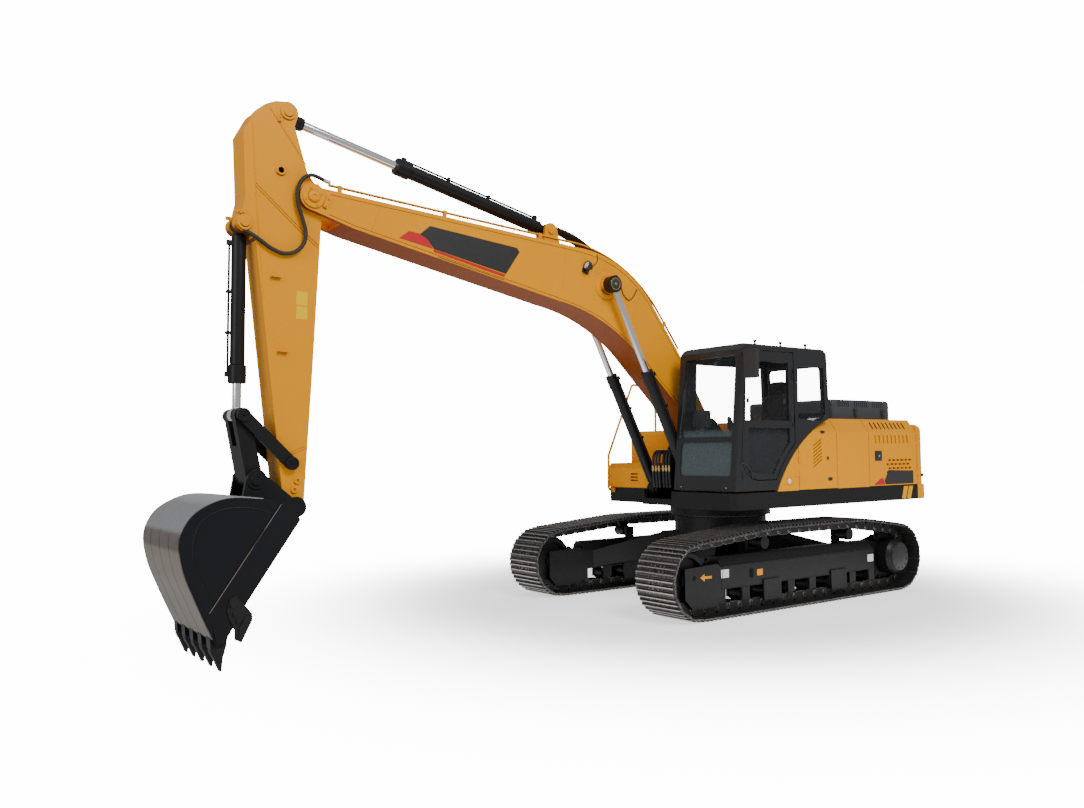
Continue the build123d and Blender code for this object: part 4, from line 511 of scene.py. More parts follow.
class Piece:
    """Loose solids on one body, with one material, that become one object. Shapes can be chained."""

    def __init__(self, name, body, material, slot=None):
        self.name, self.body, self.material = name, body, material
        self.slot = slot or SLOTS.get(material)
        self.bm = bmesh.new()

    def loft(self, rings):
        """Closed skin through rings of as many points each, capped at both ends."""
        rows = [[self.bm.verts.new(p * 0.001) for p in ring] for ring in rings]
        n = len(rows[0])
        for a, b in zip(rows, rows[1:]):
            for i in range(n):
                self.bm.faces.new((a[i], a[(i + 1) % n], b[(i + 1) % n], b[i]))
        self.bm.faces.new(rows[0][::-1])
        self.bm.faces.new(rows[-1])
        return self

    def prism(self, ax, outline, low, high, chamfer=0):
        """Outline raised from low to high, its top edge chamfered."""
        cx = sum(p[0] for p in outline) / len(outline)
        cy = sum(p[1] for p in outline) / len(outline)
        half = max(max(abs(p[0] - cx), abs(p[1] - cy)) for p in outline)
        shrink = 1 - chamfer / half
        rings = [[ax(a, b, low) for a, b in outline]]
        if chamfer:
            rings.append([ax(a, b, high - chamfer) for a, b in outline])
        rings.append([ax(cx + (a - cx) * shrink, cy + (b - cy) * shrink, high) for a, b in outline])
        return self.loft(rings)

    def block(self, ax, a, b, width, tall, low, high, round_by, chamfer):
        """Rounded plate centred on a, b."""
        return self.prism(ax.moved(a, b), rounded(width, tall, round_by), low, high, chamfer)

    def lathe(self, ax, a, b, profile, n):
        """Profile of (height, radius) turned about the frame's z at a, b."""
        turns = [FULL_TURN * k / n for k in range(n)]
        rings = [[ax(a + r * cos(t), b + r * sin(t), h) for t in turns] for h, r in profile]
        return self.loft(rings)

    def bolt(self, ax, a, b, low, r, tall):
        """Hex head on its washer."""
        self.lathe(ax, a, b, [(low, r * 1.35), (low + 1.6, r * 1.35), (low + 2, r * 1.25)], 14)
        self.lathe(ax, a, b, [(low + 1.5, r), (low + tall - 1.5, r), (low + tall, r * 0.82)], 6)

    def bolt_circle(self, ax, centre, radius, count, low, r, tall):
        """Bolts on a circle, the first half a step round."""
        for k in range(count):
            t = FULL_TURN * (k + 0.5) / count
            self.bolt(ax, centre[0] + radius * cos(t), centre[1] + radius * sin(t), low, r, tall)

    def tube(self, points, r, n=10):
        """Round tube through the points."""
        rings = []
        side = None
        for i, p in enumerate(points):
            d = (points[min(i + 1, len(points) - 1)] - points[max(i - 1, 0)]).normalized()
            if side is None:
                side = d.orthogonal().normalized()
            side = (side - d * side.dot(d)).normalized()
            other = d.cross(side)
            turns = [FULL_TURN * k / n for k in range(n)]
            rings.append([p + (side * cos(t) + other * sin(t)) * r for t in turns])
        return self.loft(rings)

    def seam(self, ax, line, r=4):
        """Weld bead along a line of flat points, half sunk in the face."""
        self.tube([ax(u, v, 0.5) for u, v in line], r, 6)

    def done(self, soft=False):
        bmesh.ops.recalc_face_normals(self.bm, faces=self.bm.faces)
        mesh = bpy.data.meshes.new(self.name)
        self.bm.to_mesh(mesh)
        self.bm.free()
        mesh.shade_smooth()
        if not soft:
            mesh.set_sharp_from_angle(angle=radians(SHARP_DEGREES))
        mesh.materials.append(self.material)
        ob = placed(self.name, mesh)
        if self.body:
            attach(ob, self.body)
        return ob


# Tracks: shoes with three grousers, bolted to a chain of links and pins

WHEELS = (
    ((-1750, 425), 289), ((1900, 425), 289), ((640, 745), 72), ((-960, 745), 72))
TRACK_Y = 1200
LINK_HEIGHT, SHOE_THICKNESS, SHOE_PITCH, GROUSER = 100, 12, 190, 23.2
GROUSER_PLACES, BOLT_PLACES = (0.14, 0.46, 0.78), (0.30, 0.62)
BOLT_ROWS, LINK_ROWS, LINK_HALF = (-98, -40, 40, 98), (-62, 62), 19
SHOE_SECTIONS = ((-300, 9), (-286, GROUSER), (286, GROUSER), (300, 9))
WORN_TIP = ((-6, GROUSER - 0.5), (-5.5, GROUSER + 0.8), (5.5, GROUSER + 0.8), (6, GROUSER - 0.5))
LINK_OUTLINE = (
    (-8, -60), (4, -34), (30, -13), (160, -13), (176, -40), (182, -60), (186, -90), (150, -111), (30, -111),
    (6, -108), (-10, -90))
LINK_PIN = ((-92, 20), (-88, 24), (-84, 24), (-84, 30), (84, 30), (84, 24), (88, 24), (92, 20))

ARROW = ((1750, 440), (1681, 480), (1681, 453), (1571, 450), (1571, 422), (1681, 424), (1681, 398))


def belt(off):
    """Straight runs and arcs of a belt that lies off outside the wheels, as (start, end, length, angle)."""
    pairs = list(zip(WHEELS, WHEELS[1:] + WHEELS[:1]))
    normals = []
    for (c0, r0), (c1, r1) in pairs:
        span = hypot(c1[0] - c0[0], c1[1] - c0[1])
        normals.append(atan2(c1[1] - c0[1], c1[0] - c0[0]) - acos((r0 - r1) / span))
    runs = []
    for ((c0, r0), (c1, r1)), a, b in zip(pairs, normals, normals[1:] + normals[:1]):
        while b < a:
            b += FULL_TURN
        p = Vector((c0[0] + (r0 + off) * cos(a), c0[1] + (r0 + off) * sin(a)))
        q = Vector((c1[0] + (r1 + off) * cos(a), c1[1] + (r1 + off) * sin(a)))
        runs.append((p, q, (q - p).length, None))
        runs.append((c1, r1 + off, (r1 + off) * (b - a), a))
    return runs


RUNS = belt(LINK_HEIGHT + SHOE_THICKNESS)
TOTAL = sum(run[2] for run in RUNS)
SHOE_COUNT = round(TOTAL / SHOE_PITCH)
STEP = TOTAL / SHOE_COUNT


def on_belt(s):
    """The belt's point at length s along it."""
    s %= TOTAL
    for start, end, length, angle in RUNS:
        if s <= length:
            break
        s -= length
    if angle is None:
        return start.lerp(end, s / length)
    turn = angle + s / end
    return Vector((start[0] + end * cos(turn), start[1] + end * sin(turn)))


def shoe_axes(k, mid_y):
    """Frame on a shoe's outer face: x along the belt, y across it, z outwards."""
    start, end = on_belt(k * STEP), on_belt((k + 1) * STEP)
    along = (end - start).normalized()
    return Axes((start[0], mid_y, start[1]), (along[0], 0, along[1]), (0, 1, 0), (along[1], 0, -along[0]))


def shoe_profile(tall):
    top = []
    for place in GROUSER_PLACES:
        m = place * STEP
        top += [(m - 17, 0), (m - 7, tall), (m + 7, tall), (m + 17, 0)]
    end = [(STEP - 9, 0), (STEP - 2, -4), (STEP - 2, -SHOE_THICKNESS)]
    return [(2, -SHOE_THICKNESS), (2, 0)] + top + end


def track(hand, sign):
    shoes = Piece("shoes_" + hand, "undercarriage", SHOE)
    bolts = Piece("shoe_bolts_" + hand, "undercarriage", SHOE)
    chain = Piece("chain_" + hand, "undercarriage", SHOE)
    wear = Piece("grouser_wear_" + hand, "undercarriage", WORN)
    for k in range(SHOE_COUNT):
        ax = shoe_axes(k, sign * TRACK_Y)
        shoes.loft([[ax(x, y, z) for x, z in shoe_profile(tall)] for y, tall in SHOE_SECTIONS])
        for place in GROUSER_PLACES:
            wear.loft([[ax(place * STEP + u, y, v) for u, v in WORN_TIP] for y in (-284, 284)])
        for place in BOLT_PLACES:
            for y in BOLT_ROWS:
                bolts.bolt(ax, place * STEP, y, 0, 11, 9)
        for y in LINK_ROWS:
            chain.loft([[ax(x, y + half, z) for x, z in LINK_OUTLINE] for half in (-LINK_HALF, LINK_HALF)])
        chain.lathe(Axes(ax(0, 0, -66), ax.x, ax.z, ax.y), 0, 0, LINK_PIN, 12)
    shoes_ob = shoes.done()
    for piece in (bolts, chain, wear):
        piece.done()
    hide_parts("track_" + hand)


def side_frame_marks(hand, sign):
    """Blank labels, travel arrow, edge beads in a lighter black as painted highlights, and dark discs as
    painted shade of hand-hole openings, on the frame's outer plate.
    """
    plate = wall(sign, FRAME_PLATE)
    labels = Piece("frame_labels_" + hand, "undercarriage", WHITE)
    for x, z in ((1360, 454), (-1314, 426)):
        labels.block(plate, x, z, 124, 92, 0.4, 1.6, 6, 0.4)
    labels.done()
    mark = Piece("frame_mark_" + hand, "undercarriage", ORANGE)
    mark.block(plate, 786, 424, 96, 70, 0.4, 1.6, 6, 0.4).done()
    arrow = Piece("frame_arrow_" + hand, "undercarriage", ORANGE)
    arrow.prism(plate, ARROW, 0.4, 1.8).done()
    # Painted highlight: beads in the lighter, glossier cab black along the plate's edges.
    beads = Piece("frame_edge_highlights_" + hand, "undercarriage", CAB)
    for start, end in (((1385, 534), (-1300, 540)), ((1420, 290), (-1300, 288)), ((1420, 290), (1385, 534))):
        beads.tube(straight(plate(*start), plate(*end), 10), 5, 6)
    beads.done()
    # Painted shade: flat dark plates on the plate where hand-hole openings would lie in shade.
    hole_shades = Piece("frame_hole_shades_" + hand, "undercarriage", SHADE_BLACK)
    hole_shades.block(plate, 928, 428, 70, 112, 0.4, 1.4, 34, 0.4)
    hole_shades.lathe(plate, 1838, 444, [(0.4, 27), (1.4, 26)], 24)
    hole_shades.done()


def final_drive_caps():
    caps = Piece("final_drive_caps", "undercarriage", CAB)
    for _, sign in SIDES:
        hub = wall(sign, HUB)
        caps.lathe(hub, *SPROCKET_PIN, [(0.2, 178), (3, 176), (5, 170), (5, 30)], 48)
        caps.bolt_circle(hub, SPROCKET_PIN, 150, 12, 4, 10, 8)
    caps.done()


# Boom: pin flanges, weld seams, blank decals, cables, lamp

BOOM_TOP_SEAM = (
    (5560, 110), (5300, 199), (4700, 404), (4000, 644), (3300, 883), (2760, 1068), (2560, 1130),
    (2350, 1176), (2150, 1190), (1950, 1177), (1750, 1132), (1500, 1030), (1150, 828), (800, 622),
    (450, 386))
BOOM_LOW_SEAM = (
    (5500, -76), (5230, -42), (4500, 105), (3600, 287), (2747, 460), (2450, 510), (2151, 536), (1850, 502),
    (1498, 438), (1050, 266), (653, 120), (420, 20))
BOOM_CROSS_SEAMS = (((2859, 1034), (2741, 562)), ((1660, 1104), (1679, 651)), ((5060, 270), (5060, -30)))

BOOM_PLATE = ((4368, 179), (4465, 231), (4569, 242), (4499, 377), (3462, 702), (3415, 675), (3484, 366))
BOOM_WEDGE = ((4762, 85), (4691, 207), (4583, 242), (4469, 233), (4376, 176))
BOOM_STRIPE = ((4361, 150), (4372, 175), (3487, 356), (3494, 322))
BOOM_LINE = ((4300, 122), (4300, 130), (3480, 298), (3480, 290))


def boom_trim(hand, sign):
    face = member(BOOM_FOOT, BOOM_DEGREES, sign, BOOM_SIDE)
    trim = Piece("boom_trim_" + hand, "boom", YELLOW)
    trim.lathe(face, BOOM_LENGTH, 0, [(0, 112), (8, 112), (12, 106), (12, 63), (0, 63)], 40)
    trim.lathe(face, BOOM_LENGTH, 0, [(17, 52), (23, 52), (26, 47), (26, 20), (22, 17)], 32)
    trim.bolt_circle(face, (BOOM_LENGTH, 0), 84, 4, 12, 8, 7)
    trim.block(face, 5565, 12, 44, 120, 0, 16, 8, 3)
    for v in (-26, 50):
        trim.bolt(face, 5565, v, 16, 10, 8)
    trim.lathe(face, *BOOM_ROD_BOSS, [(0, 172), (5, 170), (9, 160), (9, 107), (0, 107)], 48)
    for start, end in BOOM_CROSS_SEAMS:
        trim.tube(straight(face(*start, 0.5), face(*end, 0.5), 8), 4, 6)
    trim.seam(face, BOOM_TOP_SEAM, 4.5)
    trim.seam(face, BOOM_LOW_SEAM, 4.5)
    trim.done()


def boom_decals(hand, sign):
    """The black plate with its red wedge and thin stripes, without any word."""
    face = member(BOOM_FOOT, BOOM_DEGREES, sign, BOOM_SIDE)
    Piece("boom_decal_" + hand, "boom", DECAL_BLACK).prism(face, BOOM_PLATE, 0.5, 1.6).done()
    flash = Piece("boom_flash_" + hand, "boom", DECAL_RED)
    for outline in BOOM_WEDGE, BOOM_STRIPE:
        flash.prism(face, outline, 0.5, 1.7)
    flash.done()
    Piece("boom_line_" + hand, "boom", DECAL_BLACK).prism(face, BOOM_LINE, 0.5, 1.5).done()


def boom_pin_cap(hand, sign):
    """Cap and brass ring on the end of the boom cylinders' pin."""
    end = member(BOOM_FOOT, BOOM_DEGREES, sign, 376)
    cap = Piece("boom_pin_cap_" + hand, "boom", PLASTIC, "frame_black")
    cap.lathe(end, *BOOM_ROD_BOSS, [(0.3, 62), (5, 62), (8, 57), (8, 26), (5, 22)], 32).done()
    ring = Piece("boom_pin_ring_" + hand, "boom", BRASS)
    ring.lathe(end, *BOOM_ROD_BOSS, [(7.5, 21), (10, 20), (11, 16)], 24).done()


def lamp_cable():
    face = member(BOOM_FOOT, BOOM_DEGREES, 1, BOOM_SIDE)
    cable = Piece("lamp_cable", "boom", RUBBER)
    up = ((2535, 985, 62), (2480, 1010, 30), (2430, 1060, 10), (2411, 1120, 8), (2440, 1190, 8))
    along = ((2120, 1080, 20), (2080, 1100, 10), (2020, 1050, 8), (1960, 990, 8), (1900, 935, 8),
             (1806, 917, 8), (1757, 1000, 8), (1739, 1100, 8))
    for route, r in ((up, 4), (along, 5)):
        cable.tube(spline([face(*point) for point in route]), r, 8)
    cable.done()


def lamp_lens():
    face = member(BOOM_FOOT, BOOM_DEGREES, 1, BOOM_SIDE)
    bowl = Axes(face(2564, 969, 62), face.y, face.z, face.x)
    bulge = [(0.2, 45), (4, 45), (8, 38), (11, 24), (12, 6)]
    Piece("lamp_lens", "boom", LENS).lathe(bowl, 0, 0, bulge, 28).done()


def arm_cylinder_hoses():
    """Four hoses over the boom's back, from its pipes to the arm cylinder's foot."""
    hoses = Piece("arm_cylinder_hoses", "boom", RUBBER)
    for k, y in enumerate((-66, -22, 22, 66)):
        back = member(BOOM_FOOT, BOOM_DEGREES, 1, y)
        route = ((2985, 1262), (2880, 1284), (2700, 1298 + 3 * k), (2450, 1282 + 4 * k), (2230, 1272),
                 (2050, 1250), (1880, 1190), (1720, 1140))
        hoses.tube(spline([back(*point) for point in route], 6), 17, 10)
    hoses.done(soft=True)


# Arm: pin flanges, seams, stops, hose brackets, blank label, and the bucket cylinder's oil hoses

ARM_SEAMS = (
    ((-40, 540), (306, 92), (440, -100)), ((-12, 540), (334, 96), (468, -100)),
    ((-765, 440), (-391, 129), (-115, -90)), ((-580, 600), (300, 500), (1039, 405)),
    ((2415, 78), (2352, -66)), ((2440, 76), (2377, -68)))
ARM_HOSE_ROUTE = (
    (5512, 185, 4421), (5570, 187, 4440), (5672, 192, 4461), (5765, 196, 4409), (5814, 196, 4290),
    (5806, 192, 4158), (5762, 188, 4022), (5732, 187, 3912), (5748, 186, 3805), (5824, 185, 3716),
    (5939, 184, 3682), (6051, 181, 3712), (6150, 176, 3772), (6235, 168, 3826), (6292, 146, 3858),
    (6322, 112, 3878), (6326, 86, 3890))


def arm_trim(hand, sign):
    face = member(ARM_FOOT, ARM_DEGREES, sign, ARM_SIDE)
    trim = Piece("arm_trim_" + hand, "arm", YELLOW)
    for u, v, r in ((-773, 265, 78), (350, 615, 74)):
        flange = [(0, r), (10, r), (14, r - 5), (14, r - 26), (20, r - 30), (24, r - 34), (24, 14)]
        trim.lathe(face, u, v, flange, 36)
    trim.lathe(face, -203, 306, [(0, 52), (12, 50), (16, 45), (16, 29), (0, 29)], 32)
    trim.block(face, -690, 345, 70, 40, 0, 14, 8, 3)
    trim.block(face, 262, 655, 36, 84, 0, 14, 8, 3)
    for u, v in ((-705, 345), (-675, 345), (262, 634), (262, 676)):
        trim.bolt(face, u, v, 14, 9, 8)
    for line in ARM_SEAMS:
        trim.seam(face, line)
    for u, v in ((805, 300), (1490, 200)):
        trim.block(face, u, v, 34, 96, 0, 12, 6, 3)
        trim.block(face, u + 4, v, 10, 96, 12, 40, 3, 2)
        for dv in (-28, 28):
            trim.bolt(face, u - 4, v + dv, 12, 8, 8)
    for u, v in ((2679, -8), (2763, 17)):
        trim.lathe(face, u, v, [(0, 34), (12, 32), (15, 29), (15, 17), (2, 15)], 24)
    trim.done()


def arm_label(hand, sign):
    face = member(ARM_FOOT, ARM_DEGREES, sign, ARM_SIDE)
    label = Piece("arm_label_" + hand, "arm", LABEL_YELLOW)
    label.block(face, 972, 36, 134, 112, 0.4, 1.4, 6, 0.4)
    label.block(face, 1108, 30, 122, 112, 0.4, 1.4, 6, 0.4)
    label.done()


def arm_hose(hand, sign):
    """From the boom's pipes round the pin, along the arm to the bucket cylinder's barrel."""
    hose = Piece("arm_hose_" + hand, None, RUBBER)
    hose.tube(spline([(x, sign * y, z) for x, y, z in ARM_HOSE_ROUTE], 7), 19, 12)
    ob = hose.done(soft=True)
    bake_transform(ob)
    ends = Piece("arm_hose_ends_" + hand, "boom", ZINC)
    sleeve = ((5486, 185, 4421), (5520, 185, 4424), (5556, 186, 4436))
    ends.tube([Vector((x, sign * y, z)) for x, y, z in sleeve], 22, 6).done()


# Bucket: wear strips round its back, doublers on its cheeks, pin caps, teeth

BUCKET_BACK = (
    (450, 106), (681, 127), (842, 104), (1014, 17), (1113, -103), (1150, -257), (1110, -479), (1031, -681),
    (946, -877), (872, -1036))
CHEEK_INSET = (
    (365, -27), (497, 22), (634, 41), (778, 35), (901, -9), (982, -71), (1030, -183), (1045, -304),
    (1036, -394), (963, -580), (880, -744))
CHEEK_DOUBLER = ((231, 118), (294, 60), (905, -820), (842, -1080), (792, -1078), (590, -764), (140, -90))
LINK_CAP = ((205, 62), (213, 62), (217, 58), (217, 42), (211, 38), (211, 8))
EAR_CAP = ((195, 92), (203, 92), (207, 88), (207, 58), (216, 56), (220, 52), (220, 20), (216, 16))
ROD_EYE_COVER = ((268, 0.5), (268, 96), (273, 99), (372, 99), (378, 94), (378, 0.5))
STRIPS, STRIP_GAP = 4, 10
TEETH, TOOTH_STEP = 5, 245
TOOTH_SECTIONS = (
    (-1119, 752, 878, 50), (-1150, 756, 874, 49), (-1176, 762, 864, 46), (-1190, 768, 852, 43),
    (-1262, 775, 822, 38), (-1312, 778, 799, 33), (-1321, 782, 794, 30))
SIDE_CUTTER = (
    (765, -812), (735, -714), (684, -694), (548, -856), (546, -912), (640, -1090), (694, -1060),
    (694, -985), (745, -880))
CUTTER_PAD = ((600, -860), (546, -880), (552, -908), (640, -1080), (668, -1040), (660, -960))

back = spline(BUCKET_BACK, 4)
back_normals = []
for i in range(len(back)):
    along = (back[min(i + 1, len(back) - 1)] - back[max(i - 1, 0)]).normalized()
    back_normals.append(Vector((-along[1], along[0], 0)))


def bucket_side(sign, y):
    return wall(sign, y).moved(*BUCKET_PIN)


def wear_strips():
    # Their light grey and height bands are painted reflection, from the bucket's back paint.
    wrap = Piece("bucket_wear_strips", "bucket", WRAP)
    width = 2 * BUCKET_SIDE / STRIPS
    side = bucket_side(1, 0)
    for k in range(STRIPS):
        y0 = -BUCKET_SIDE + k * width + (STRIP_GAP / 2 if k > 0 else 0)
        y1 = -BUCKET_SIDE + (k + 1) * width - (STRIP_GAP / 2 if k < STRIPS - 1 else 0)
        section = ((y0, -3), (y0, 5), (y0 + 3, 8), (y1 - 3, 8), (y1, 5), (y1, -3))
        wrap.loft([[side(*(p + n * lift)[:2], y) for y, lift in section] for p, n in zip(back, back_normals)])
    wrap.done()


def bucket_cheek(hand, sign):
    """Raised rim and doubler round the recessed side, a light line along the doubler's edge that is worn
    paint and a painted highlight, and a glossy black line along the rim's inner edge.
    """
    side = bucket_side(sign, BUCKET_SIDE)
    inset = spline(CHEEK_INSET, 4)
    steps = len(inset) - 1
    rim = []
    for k, q in enumerate(inset):
        i = round(k * (len(back) - 1) / steps)
        p = back[i] - back_normals[i] * 2
        rim.append([side(p[0], p[1], -1), side(p[0], p[1], 7), side(q[0], q[1], 7), side(q[0], q[1], -1)])
    cheek = Piece("bucket_cheek_" + hand, "bucket", BUCKET)
    cheek.loft(rim).prism(side, CHEEK_DOUBLER, -1, 10, 2).done()
    # Painted highlight: a light tube along the doubler's edge, also standing for worn paint.
    edge = straight(side(292, 56, 9), side(903, -820, 9), 10)
    Piece("bucket_edge_highlight_" + hand, "bucket", WRAP).tube(edge, 3.5, 6).done()
    edge = [side(q[0], q[1], 6.5) for q in inset]
    Piece("bucket_inset_line_" + hand, "bucket", CAB).tube(edge, 3, 6).done()


def linkage_caps(hand, sign):
    """Caps of the idler links' pins and the bucket's ears, and covers of the boom cylinders' rod eyes."""
    middle = wall(sign, 0)
    caps = Piece("idler_pin_caps_" + hand, "idler_links", BLACK)
    for pin in IDLER_LINK_PINS:
        caps.lathe(middle, *pin, LINK_CAP, 28)
        caps.bolt(middle, *pin, 209, 11, 10)
    caps.done()
    ears = Piece("bucket_ear_caps_" + hand, "bucket", BUCKET)
    ears.lathe(middle, *BUCKET_EAR_PIN, EAR_CAP, 32).done()
    cover = Piece("boom_rod_eyes_" + hand, "boom_rods", BLACK)
    cover.lathe(middle, *BOOM_ROD_EYE, ROD_EYE_COVER, 36).done()
    ring = Piece("boom_rod_eye_rings_" + hand, "boom_rods", BRASS)
    ring.lathe(middle, *BOOM_ROD_EYE, [(377, 74), (381, 73), (381, 62), (377, 60)], 32).done()


def arm_rod_collar():
    eye, foot = (Vector((x, 0, z)) for x, z in (ARM_ROD_EYE, ARM_BARREL_EYE))
    along, across = (eye - foot).normalized(), Vector((0, 1, 0))
    neck = Axes(eye - along * 205, across, along.cross(across), along)
    profile = [(0, 46), (0, 62), (8, 66), (100, 66), (118, 70), (126, 60)]
    Piece("arm_rod_collar", "arm_rod", BLACK).lathe(neck, 0, 0, profile, 28).done()


def tooth_castings():
    """Five teeth with their pins and lips, and the cutters bolted to the bucket's sides."""
    teeth = Piece("tooth_castings", "bucket", CAST)
    for k in range(TEETH):
        y = TOOTH_STEP * (k - (TEETH - 1) / 2)
        middle = bucket_side(1, y)
        rings = []
        for z, x0, x1, half in TOOTH_SECTIONS:
            rings.append([middle((x0 + x1) / 2 + a, z, b) for a, b in rounded(x1 - x0, 2 * half, 9, 3)])
        teeth.loft(rings)
        for sign in (1, -1):
            side = bucket_side(sign, sign * y)
            teeth.lathe(side, 815, -1146, [(48, 16), (52, 15), (54, 11), (54, 4)], 14)
            teeth.prism(side, ((770, -1128), (858, -1128), (846, -1172), (786, -1172)), 46, 51, 3)
    for sign in (1, -1):
        side = bucket_side(sign, BUCKET_SIDE + 10)
        teeth.prism(side, SIDE_CUTTER, -9, 13, 4)
        teeth.prism(side, CUTTER_PAD, 12, 22, 5)
        for u, v in ((722, -772), (700, -846), (670, -906)):
            teeth.bolt(side, u, v, 12, 20, 20)
    teeth_ob = teeth.done()
    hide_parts("bucket_teeth")


# House: stripes, decals, painted shade in the door's slots, latches, hood, roof and cab fittings

DOOR_PLATE = ((-1600, 1345), (-1575, 1400), (-1660, 1512), (-1660, 1530), (-2226, 1512), (-2226, 1345))
DOOR_WEDGE = ((-1340, 1345), (-1590, 1345), (-1567, 1398), (-1535, 1430), (-1504, 1428))
DOOR_KEY, KEY_PROFILE = (-1455, 1716), ((11, 17), (17, 17), (19, 14), (19, 5), (16, 4))
TOP_SLOTS, TOP_SLOT_STEP = 9, 88
ROOF_LAMP = ((-6, 24), (6, 22), (10, 12), (28, 12), (34, 22), (52, 22), (58, 16))


def skirt_stripes(hand, sign):
    stripes = Piece("skirt_stripes_" + hand, "house", STRIPE)
    for x in (-2032, -2146):
        slanted = ((x + 54, 1152), (x, 1312), (x - 92, 1312), (x - 38, 1152))
        stripes.prism(wall(sign, PANEL), slanted, 0.5, 1.5)
    stripes.done()


def rear_door(hand, sign):
    """Black plate and red wedge without words, dark sheets behind the slots and dark stripes on the top slope
    as painted shade, latch with its key.
    """
    door = wall(sign, PANEL).moved(-28, 0)
    body = "rear_door_l" if sign > 0 else "rear_door_r"
    Piece("door_decal_black_" + hand, body, DECAL_BLACK).prism(door, DOOR_PLATE, 0.5, 1.5).done()
    Piece("door_decal_red_" + hand, body, DECAL_RED).prism(door, DOOR_WEDGE, 0.5, 1.5).done()
    # Painted shade: flat black sheets behind the slots, and stripes on the top slope, where the slots would
    # lie in shade.
    slot_shade = Piece("door_slot_shade_" + hand, body, SHADE_BLACK)
    behind = wall(sign, PANEL_BACK)
    slot_shade.block(behind, -1782, 1925, 860, 150, -2, -1, 10, 0.4)
    slot_shade.block(behind, -1935, 1578, 620, 240, -2, -1, 10, 0.4)
    slope = Axes((0, sign * 1310, 2104.5), (1, 0, 0), (0, sign * -0.5836, 0.8122),
                 (0, sign * 0.8122, 0.5836))
    for k in range(TOP_SLOTS):
        slot_shade.block(slope.moved(-1430 - TOP_SLOT_STEP * k, 0).spun(8), 0, 0, 26, 112, 0.3, 1.3, 12, 0.4)
    slot_shade.done()
    latch = Piece("door_latch_" + hand, body, PLASTIC)
    latch.block(door, *DOOR_KEY, 150, 128, 0, 5, 12, 2)
    latch.block(door, *DOOR_KEY, 96, 80, 5, 12, 14, 4)
    latch.done()
    Piece("door_key_" + hand, body, ZINC).lathe(door, *DOOR_KEY, KEY_PROFILE, 20).done()
    tail = Piece("counterweight_latch_" + hand, "house", PLASTIC)
    tail.block(door, -2435, 1448, 74, 46, -2, 4, 20, 2).done()


def corner_panel():
    """Locks of the front door, and the plate and blank cap in front of it."""
    panel = wall(1, PANEL).moved(-25, 0)
    locks = Piece("front_door_locks", "front_door", PLASTIC)
    locks.block(panel, -327, 2018, 86, 36, 0, 5, 17, 2)
    locks.block(panel, -457, 1447, 84, 40, 0, 6, 18, 2)
    locks.lathe(panel, -420, 1700, [(0, 20), (5, 20), (7, 16), (7, 4)], 20)
    locks.done()
    plate = Piece("corner_panel_trim", "house", YELLOW)
    plate.block(panel, 156, 1575, 118, 172, 0, 3, 10, 2)
    plate.lathe(panel, 310, 1443, [(0, 50), (4, 50), (6, 46), (6, 36), (3, 34)], 36)
    plate.done()
    cap = Piece("corner_panel_cap", "house", WHITE)
    cap.lathe(panel, 310, 1443, [(2, 32), (5, 31), (7, 26), (7.5, 8)], 30).done()


def hood_latches():
    side = wall(1, HOOD_SIDE)
    catches = Piece("hood_latches", "hood", PLASTIC)
    for x in (-1330, -1920):
        catches.block(side, x, 2290, 64, 74, -1, 10, 8, 3)
        catches.block(side, x, 2262, 40, 84, 8, 20, 8, 3)
        catches.lathe(front(x - 36, 1164, 2312), 0, 0, [(0, 9), (4, 12), (68, 12), (72, 9)], 14)
    catches.done()


def cab_outside():
    """Roof lamps, corner trim, window knobs, handle and screws."""
    knobs = Piece("roof_lamps", "house", PLASTIC, "frame_black")
    for x in (740, 290, -170):
        knobs.lathe(level(x, 1290, ROOF_TOP), 0, 0, ROOF_LAMP, 20)
    knobs.done()
    shell = wall(1, PANEL)
    trim = Piece("cab_corner_trim", "house", CAB)
    arch = [radians(t) for t in range(0, 91, 6)]
    trim.tube([shell(1120 - 190 * sin(t), 1480 + 190 * cos(t), 1) for t in arch], 9, 8)
    trim.block(shell, 1062, 1530, 62, 120, -1, 7, 30, 3)
    trim.done()
    pane = Piece("cab_window_knobs", "cab_door", PLASTIC)
    for x, z in ((960, 2374), (330, 2378)):
        pane.block(wall(1, DOOR_PANE), x, z, 34, 52, -2, 14, 8, 4)
    pane.done()
    door = wall(1, CAB_DOOR).moved(-24, 0)
    grip = Piece("cab_door_handle", "cab_door", PLASTIC)
    grip.block(door, 235, 2190, 46, 130, -1, 5, 20, 2)
    grip.block(door, 235, 2176, 26, 84, 5, 18, 12, 4)
    grip.done()
    screws = Piece("cab_screws", "house", ZINC)
    for y, z in ((520, 1385), (1230, 1385)):
        screws.bolt(front(CAB_FRONT), y, z, -3, 9, 8)
    screws.done()


def wiper():
    """Arm, hub and blade on the windshield."""
    arm = ((1158, 470, 1978), (1160, 478, 2050), (1126, 494, 2300), (1100, 500, 2540))
    blade = ((1119, 506, 2230), (1101, 508, 2420), (1080, 510, 2640))
    whole = Piece("cab_wiper", "house", PLASTIC)
    whole.tube(spline(arm, 5), 8, 8)
    whole.lathe(front(1150, 470, 1978), 0, 0, [(0, 24), (12, 22), (18, 14)], 18)
    whole.tube(spline(blade, 4), 6, 6)
    whole.done()


# Inside the cab: monitor, ring, levers, seat

STICK_GRIP = ((0, 16), (20, 25), (60, 22), (100, 26), (130, 30), (150, 24), (158, 10))
STICK_BOOT = ((0, 58), (20, 50), (28, 40), (44, 38), (56, 26), (72, 14))
HOSE_FITTING = ((0, 21), (16, 21), (18, 25), (44, 25), (46, 20), (70, 20))


